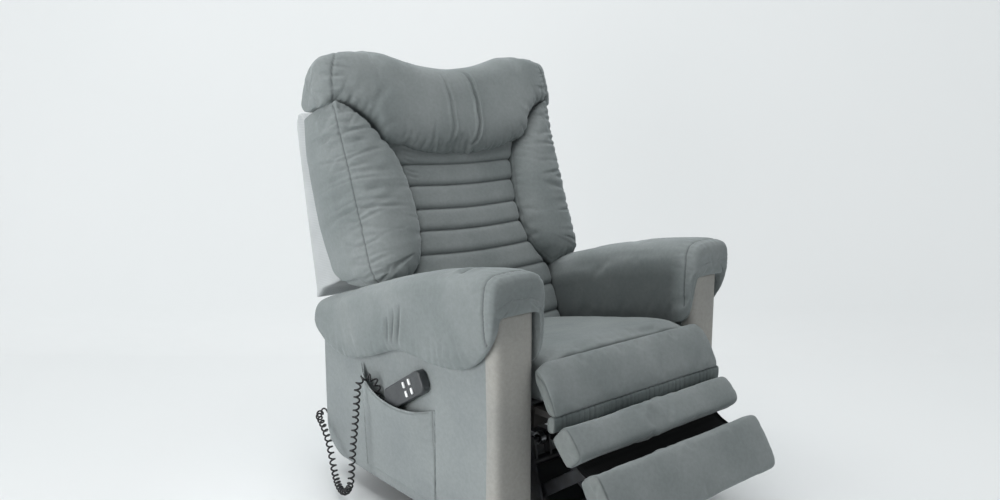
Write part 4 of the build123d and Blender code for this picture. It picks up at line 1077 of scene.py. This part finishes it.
# ---------------------------------------------------------------- arms
@dataclass
class Arm:
    """One arm: side panel, front post and the pad that rolls over the top and down to the seat."""
    side: int                   # 1 for the left arm, -1 for the right
    crown: tuple[tuple[float, float], ...] = (
        (-17, 661), (-6, 665), (10, 668), (40, 668), (70, 665), (120, 657), (219, 640), (268, 629),
        (370, 603), (500, 563), (600, 531), (660, 514), (700, 502), (725, 491), (738, 474))
    hem: tuple[tuple[float, float], ...] = (
        (-17, 584), (-12, 567), (-3, 540), (18, 506), (50, 473), (92, 454), (146, 440), (202, 438),
        (272, 439), (313, 439), (356, 433), (447, 400), (504, 383), (569, 368), (623, 367), (670, 377),
        (700, 391), (725, 409), (738, 430))
    low: tuple[tuple[float, float], ...] = (
        (-17, 584), (-13, 540), (-6, 496), (2, 476), (20, 462), (60, 450), (300, 410), (480, 370), (515, 378),
        (550, 458), (700, 430), (738, 424))

    def across(self, x: Any) -> Any:
        """Distance from the middle to this arm's side."""
        x = np.asarray(x, float)
        return self.side * np.where((x > 374) & (self.side > 0), 374 + (x - 374) * 0.55, x)

    def pad(self) -> Pad:
        """Arm pad: loops in (x, z) from front to rear, an upside-down U over the arm box."""
        y = np.array([-17, -15.5, -12, -7, 0, 9, 20, 35, 60, 90, 130, 175, 225, 280, 335, 390, 440, 480, 510,
                      530, 550, 580, 610, 645, 680, 705, 722, 733, 738.0])
        crown, hem, low = (profile(p, y) for p in (self.crown, self.hem, self.low))
        top = np.where(y < 0, BOX_FRONT, box_top(y)) + 1.5
        hem, low = np.minimum(hem, top), np.minimum(low, top)
        pull = profile([(-17, 11), (-15.5, 6), (-12, 2.4), (-7, 0), (722, 0), (733, 3), (738, 9)], y)
        crown, hem = crown - pull * (y < 0), np.minimum(hem + pull * (y < 0), top)
        x = np.array([390, 397, 398.5, 398.5, 396, 380, 346, 312, 279, 259, 251, 250, 250, 250.5, 255, 260,
                      261, 263, 315, 369, 373, 374, 380])
        x = 324 + (x - 324) * (1 - pull / 74)[:, None]
        z = [hem + 1, hem + 14, (hem + crown) / 2 - 8, crown - 44, crown - 15, crown + 2, crown + 4,
             crown + 4, crown + 2, crown - 8, crown - 28, crown - 62, (crown + low) / 2 - 20, low + 8, low,
             low + 6, top - 10, top + 1, top + 2, top + 1, (top + hem) / 2, hem + 12, hem + 1]
        z[12], z[16] = np.minimum(z[12], z[11] - 4), np.maximum(z[16], low + 3)
        net = spread(self.across(x), y[:, None], spread(*z))
        return Pad("arm_pad_soft_" + self.label, net, (3, 8), 3.8, Stuffing(2, 0.02, 4),
                   self.pad_seams(net, y), self.fixed, self.painted_flap_shade)

    def pad_seams(self, net: Array, y: Array) -> list[Seam]:
        """The arm pad's round front cap, its hem, the creases at its rear hump and the near arm's fold.

        Args:
            net: the pad's control points.
            y: its stations.

        Returns:
            The seams.
        """
        around = Pad("probe", net, (3, 8), 6.0)
        row = 4 + float(np.interp(10.0, y, np.arange(len(y))))
        cap_line = around.at(np.array([row]), np.linspace(0.3, 12.6, 110))[0]
        hem_line = around.at(np.linspace(10, len(y) - 1, 90), np.array([0.9]))[:, 0]
        seams = [Seam(cap_line, 3.0, 3.2, 9, 3.4, 3.6, 26, 21 if self.side < 0 else 22),
                 Seam(hem_line, 4, 0.2, 26, 2.2, 7, 46, 23, dark=.0)]
        for crease in (((398, 352, 455), (398, 345, 490), (397, 338, 545)),
                       ((398, 330, 455), (398, 322, 500), (396, 312, 560)),
                       ((398, 372, 455), (398, 368, 480), (398, 366, 520))):
            seams.append(Seam(np.array(crease) * (self.side, 1, 1), 7, 4.0, taper=True))
        if self.side < 0:
            p = np.linspace(0, 1, 9)
            # the near arm's fold is painted fully dark as shade in its hollow
            seams.append(Seam(spread(-382 + 60 * p, 117 + 2 * p, 664), 10.0, 6.0, taper=True, dark=1.0))
        return seams

    @staticmethod
    def fixed(points: Array) -> Array:
        """Where the pad is stapled: on the arm box, at the hem and at the flap's foot."""
        x, y, z = np.abs(points[:, 0]), points[:, 1], points[:, 2]
        return ((x > 258) & (x < 376) & (z < box_top(y) + 8)) | (x < 263) & (z < 500 - y * 0.2)

    def painted_flap_shade(self, points: Array) -> tuple[Array, Array]:
        """Painted shade on the flap that faces the seat, much darker on the left arm; it leaves the height alone.
        """
        inner = np.clip((268 - np.abs(points[:, 0])) / 10, 0, 1)
        below = np.clip((profile(self.crown, points[:, 1]) - 18 - points[:, 2]) / 70, 0, 1)
        front = np.clip((points[:, 1] - 14) / 40, 0, 1)
        # painted shade: 0.52 on the left arm's flap, 0.1 on the right arm's
        return 0 * inner, (0.52 if self.side > 0 else 0.1) * inner * below * front

    @property
    def label(self) -> str:
        """Name of the side."""
        return "left" if self.side > 0 else "right"

    def panel(self) -> Pad:
        """Side panel: loops in (x, z) from front to rear; its lower rear corner is a quarter circle."""
        y = np.array([26, 30, 60, 150, 280, 420, 560, 640, 665, 690, 708, 722, 729.0])
        drop = 65 + 80 - np.sqrt(80.0 ** 2 - np.clip(y - 652, 0, 79.5) ** 2)
        top = box_top(y) - 2
        x = np.array([353, 353, 356, 364, 370, 372, 372.5, 372.5, 372, 370, 364, 356])
        z = [top - 20, drop + 20, drop + 2, drop, drop + 2, drop + 14, drop + .35 * (top - drop),
             drop + .65 * (top - drop), top - 14, top - 3, top, top - 2]
        net = spread(self.across(x), y[:, None], spread(*z))
        return Pad("side_panel_" + self.label, net, (0.5, 3), 7.0)

    def post(self) -> Pad:
        """Front post: rounded loops in (x, y) at stations of height."""
        z = np.array([66, 72, 90, 200, 330, 460, 560, 576, 580.0])
        net = rounded(z, 264.5, 372.8, 0.0, 48.0, 15.0, 0.2)
        net[:, :, 1] = 48.0 - net[:, :, 1]
        net[..., 0] = self.across(net[..., 0])
        return Pad("front_post_" + self.label, net, (2, 2), 5.0)

    def build(self) -> None:
        """Makes the arm's three pieces."""
        for pad, finish, slot, node in ((self.pad(), Finish.VELOUR, "velour", "arm_pad_"),
                                        (self.panel(), Finish.PANEL, "velour", "arm_outer_panel_"),
                                        (self.post(), Finish.POST, "velour_warm", "arm_post_")):
            settle(pad.build([finish]), "chassis", [node + self.label])


# ---------------------------------------------------------------- pocket and rear cover
@dataclass
class Pocket:
    """Pouch on the side panel: one wall that stands off at its mouth, sewn down at three edges."""
    mouth: tuple[tuple[float, float], ...] = (
        (220, 326), (238, 319), (270, 311), (312, 307), (350, 306), (380, 308), (411, 312), (443, 319),
        (479, 330), (503, 342), (517, 357), (526, 368))
    foot: float = 90.0

    def wall(self) -> Pad:
        """Loops in (x, z) from front to rear: up the outside, over the hem and down the inside."""
        y = np.array([220, 224, 234, 262, 300, 340, 380, 415, 450, 485, 510, 522, 526.0])
        top = profile(self.mouth, y)
        a = np.clip((y - 220) / 306, 0, 1)
        open_ = 30.0 * np.clip(1 - np.abs(2 * a - 1.05) ** 2.6, 0, 1) ** 0.8
        levels = np.array([0, .18, .36, .54, .7, .84, .95, 1.0])
        rise = np.array([0, .02, .10, .28, .55, .84, .97, 1.0])
        z_out = self.foot + np.outer(top - self.foot, levels)
        x_out = 374.2 + np.outer(open_, rise)
        z_in = z_out[:, ::-1] - 1.0
        x_in = np.maximum(x_out[:, ::-1] - 3.0, 371.6)
        x, z = np.concatenate([x_out, x_in], 1), np.concatenate([z_out, z_in], 1)
        net = spread(-x, y[:, None], z)
        hem_y = np.linspace(226, 520, 30)
        seams = [Seam(spread(-403, hem_y, profile(self.mouth, hem_y) - 8), 1.8, 1.0, dark=.35)]
        for edge, seed in ((((-375, 522, 360), (-375, 524, 190), (-375, 518, 95)), 3),
                           (((-375, 224, 320), (-375, 223, 190), (-375, 222, 95)), 4)):
            seams.append(Seam(edge, 2.4, 0.8, 26, 1.8, 7, 46, seed, dark=.45))
        return Pad("pocket_wall", net, (1, 1), 3.6, None, seams)

    def cover(self) -> Pad:
        """Rear cover: a thin board with soft edges."""
        z = np.array([82, 86, 100, 200, 300, 322, 328.0])
        net = rounded(z, -363.0, 363.0, ARM_DEPTH + 0.6, ARM_DEPTH + 8.0, 3.2, 1.0)
        return Pad("rear_cover_board", net, (2, 2), 8.0)

    def build(self) -> None:
        """Makes the pocket and the rear cover."""
        settle(self.wall().build([Finish.PANEL]), "chassis", ["handset_pocket"])
        settle(self.cover().build([Finish.BACK_CLOTH]), "chassis", ["rear_cover"])


# ---------------------------------------------------------------- footrest
@dataclass
class Board:
    """One padded board of the footrest: its rear upper corner and its lean from upright."""
    corner: tuple[float, float]
    lean: float
    half: float = 275.0

    def point(self, down: Array, out: Array) -> tuple[Array, Array]:
        """(y, z) of a point down the board and out to the front."""
        a = radians(self.lean)
        return (self.corner[0] - down * sin(a) - out * cos(a), self.corner[1] - down * cos(a) + out * sin(a))

    def glued(self, points: Array) -> Array:
        """Where a pad lies on the board."""
        a = radians(self.lean)
        return (self.corner[0] - points[:, 1]) * cos(a) + (points[:, 2] - self.corner[1]) * sin(a) < 8

    def loops(self, down: Sequence[float], out: Sequence[float]) -> Array:
        """Control loops across the chair, slightly slimmer near the ends."""
        x = np.array([-1, -.97, -.9, -.7, -.35, 0, .35, .7, .9, .97, 1]) * self.half
        slim = np.array([0.5, 0, 0, 0, 0, 0, 0, 0, 1, 4, 10.0])
        d, o = np.asarray(down, float), np.asarray(out, float)
        d = np.broadcast_to(d, (11, len(d))) + slim[:, None] * np.sign(d.mean() - d)
        o = np.maximum(np.broadcast_to(o, (11, len(o))) - slim[:, None] * (o > 10), 0)
        y, z = self.point(d, o)
        return spread(x[:, None], y, z)


@dataclass
class Footrest:
    """Two pads on boards and the dark cloth between them."""
    upper: Board = field(default_factory=lambda: Board((-66.0, 318.0), 42.0))
    lower: Board = field(default_factory=lambda: Board((-150.0, 252.0), 32.0))

    def build(self) -> None:
        """Makes the pads, which are rounded sections sewn to end panels, and the gap cloth."""
        sections = {
            "upper": (self.upper, [-2, -4, -4, -2, 10, 34, 60, 71, 73, 73, 71, 60, 34, 8],
                      [3, 20, 40, 54, 59, 60, 59, 53, 39, 20, 3, 0, 0, 0]),
            "lower": (self.lower, [-1, -3, -3, -1, 12, 64, 116, 130, 132, 132, 130, 118, 64, 10],
                      [3, 20, 42, 55, 60, 62, 60, 54, 40, 20, 3, 0, 0, 0])}
        for which, (board, down, out) in sections.items():
            net = board.loops(down, out)
            ends = [Seam(net[k][:11], 2.8, 2.4, 13, 1.6, 5, 24, 31 + k) for k in (0, 10)]
            pad = Pad("footrest_pad_" + which, net, (2, 5), 3.6, Stuffing(1.5, 0.02, 2.5), ends, board.glued)
            settle(pad.build([Finish.VELOUR, Finish.GUSSET], board.half + 0.6), "footrest",
                   [which + "_leg_pad"])
        self.cloth()

    def cloth(self) -> None:
        """Dark cloth behind the gap: a thin sheet with a shallow sag between the two boards."""
        (y0, z0), (y1, z1) = self.upper.point(62.0, -7.5), self.lower.point(4.0, -7.5)
        x = np.linspace(-245, 245, 30)
        p = np.linspace(0, 1, 8)
        sag = 5.0 * np.sin(pi * p)
        y, z = y0 + (y1 - y0) * p + sag, z0 + (z1 - z0) * p - sag * 0.4
        y, z = np.concatenate([y, y[::-1] + 1.2]), np.concatenate([z, z[::-1] + 1.0])
        sheet = mesh_object("footrest_gap_sheet", spread(x[:, None], y, z), [dressed(Finish.DARK_CLOTH)])
        obj = settle(sheet, "footrest", ["leg_gap_cloth"])


# ---------------------------------------------------------------- carried-over parts
@dataclass
class Mechanism:
    """CAD nodes whose shape stays: frame, links, motors, boards, springs, handset and buttons."""
    finishes: dict[str, Finish] = field(default_factory=lambda: {
        "black_steel": Finish.BLACK_STEEL, "zinc_steel": Finish.ZINC, "spring_steel": Finish.SPRING,
        "timber": Finish.TIMBER, "motor_plastic": Finish.PLASTIC, "handset_plastic": Finish.HANDSET,
        "button_plastic": Finish.BUTTON, "cord_rubber": Finish.CORD, "foot_rubber": Finish.FOOT,
        "dark_cloth": Finish.DARK_CLOTH, "back_cloth": Finish.BACK_CLOTH, "velour": Finish.PANEL,
        "velour_warm": Finish.GUSSET})

    def build(self) -> None:
        """Puts the finish of each node's record slot on the node."""
        slots = {part["node"]: part["material_slot"] for part in frame["record"]["subparts"]}
        for name, obj in frame["nodes"].items():
            finish = self.finishes[slots[name]]
            for slot in obj.material_slots:
                slot.material = dressed(finish)


# ---------------------------------------------------------------- studio
@dataclass
class Studio:
    """Pale floor that turns up into a backdrop, and soft key, top and fill lamps."""
    floor: str = "#e4e8e9"
    distance: float = 3500.0      # from the camera to the backdrop's foot
    bend: float = 160.0
    width: float = 9000.0         # from the middle of the floor to its sides
    lowest: float = -6.0          # height of the outer floor

    def sweep(self) -> None:
        """Floor, quarter-circle bend and wall as one sheet square to the view, and a lower floor round it."""
        angles = np.linspace(0, pi / 2, 14)
        run = [-6000.0] + list(self.distance - self.bend + self.bend * np.sin(angles)) + [self.distance]
        rise = [0.0] + list(self.bend * (1 - np.cos(angles))) + [7000.0]
        run, rise = np.array(run), np.array(rise) - 1.0
        turn = radians(CAMERA_TURN)
        wide = np.array([-self.width, self.width])
        x = CAMERA_AT[0] + run[:, None] * sin(turn) + wide * cos(turn)
        y = CAMERA_AT[1] + run[:, None] * cos(turn) - wide * sin(turn)
        material = self.paint()
        faces = [(2 * k, 2 * k + 1, 2 * k + 3, 2 * k + 2) for k in range(len(run) - 1)]
        self.sheet("floor_sweep", spread(x, y, rise[:, None]), faces, material)
        side = self.width
        corners = np.array([(-side, -side), (side, -side), (side, side), (-side, side)])
        self.sheet("outer_floor", spread(corners[:, 0], corners[:, 1], self.lowest), [(0, 1, 2, 3)], material)

    @staticmethod
    def sheet(name: str, points: Array, faces: Sequence[tuple[int, ...]],
              material: bpy.types.Material) -> None:
        """A smooth piece of the stage from points in chair millimetres."""
        mesh = bpy.data.meshes.new(name)
        mesh.from_pydata([tuple(p) for p in placed(points).reshape(-1, 3)], [], faces)
        mesh.polygons.foreach_set("use_smooth", np.ones(len(faces), bool))
        mesh.materials.append(material)
        new_object(name, mesh)

    def paint(self) -> bpy.types.Material:
        """Floor paint: a painted shadow under the chair, glowing to the camera far from it, clear from behind."""
        material, tree, output, coords = new_material("pale_painted_floor")
        tone = mixed(tree, stretched(tree, noise(tree, coords, 900.0, 2.0), 0.3, 0.7),
                     linear(self.floor), linear("#e8ebec"))
        middle = add_node(tree, "ShaderNodeVectorMath", {"operation": "DISTANCE"},
                          {0: coords, 1: tuple(placed(np.array([0.0, 250.0, 0.0])))}).outputs["Value"]
        # painted shadow: the floor's colour goes to #4a4d4e within 0.2 to 0.5 m of the chair's middle
        tone = mixed(tree, stretched(tree, middle, 0.2, 0.5), linear("#4a4d4e"), tone)
        shader = add_node(tree, "ShaderNodeBsdfPrincipled", None,
                          {"Base Color": tone, "Roughness": 0.75, "Specular IOR Level": 0.2})
        glow = add_node(tree, "ShaderNodeEmission", None, {"Color": linear("#e6eaeb"), "Strength": 1.0})
        path = add_node(tree, "ShaderNodeLightPath")
        seen = path.outputs["Is Camera Ray"]
        for other in ("Is Glossy Ray", "Is Transmission Ray"):
            seen = combined(tree, "MAXIMUM", seen, path.outputs[other])
        share = combined(tree, "MULTIPLY", seen, stretched(tree, middle, 0.4, 1.2, 0.72))
        behind = add_node(tree, "ShaderNodeNewGeometry").outputs["Backfacing"]
        clear = add_node(tree, "ShaderNodeBsdfTransparent")
        result = blended(tree, behind, blended(tree, share, shader, glow), clear)
        tree.links.new(result.outputs[0], output.inputs[0])
        return material

    @staticmethod
    def lamp(name: str, place: tuple[float, float, float], aim: tuple[float, float, float], size: float,
             power: float) -> None:
        """A square area lamp at place, in chair millimetres, that looks at aim."""
        data = bpy.data.lights.new(name, "AREA")
        data.size, data.energy = size, power
        lamp = new_object(name, data)
        start, end = Vector(placed(np.array(place))), Vector(placed(np.array(aim)))
        lamp.location = start
        lamp.rotation_euler = (end - start).to_track_quat("-Z", "Y").to_euler()

    def build(self) -> None:
        """Makes the floor, the lamps and the world."""
        self.sweep()
        self.lamp("key", (-3100, 500, 900), (0, 300, 500), 2.0, 64.0)
        self.lamp("top", (-500, 300, 3300), (0, 300, 500), 2.4, 74.0)
        self.lamp("fill", (600, -3200, 1300), (0, 200, 500), 2.2, 20.0)
        world = bpy.data.worlds.new("studio")
        world.use_nodes = True
        tree = world.node_tree
        tree.nodes.clear()
        output = add_node(tree, "ShaderNodeOutputWorld")
        lit, pale = (0.95, 0.97, 1.0, 1.0), linear("#e2e6e8")
        glow = add_node(tree, "ShaderNodeBackground", None, {"Color": lit, "Strength": 0.21})
        shown = add_node(tree, "ShaderNodeBackground", None, {"Color": pale, "Strength": 1.0})
        path = add_node(tree, "ShaderNodeLightPath").outputs["Is Camera Ray"]
        tree.links.new(blended(tree, path, glow, shown).outputs[0], output.inputs[0])
        bpy.context.scene.world = world
        bpy.context.scene.view_settings.view_transform = "Standard"


def main() -> None:
    """Builds everything: camera and cord first, then the soft pieces, the hard ones and the studio."""
    Viewpoint().build()
    CurlyCord().build()
    Backrest().build()
    Seat().build()
    for side in (-1, 1):
        Arm(side).build()
    Pocket().build()
    Footrest().build()
    Mechanism().build()
    Studio().build()


if __name__ == "__main__":
    main()
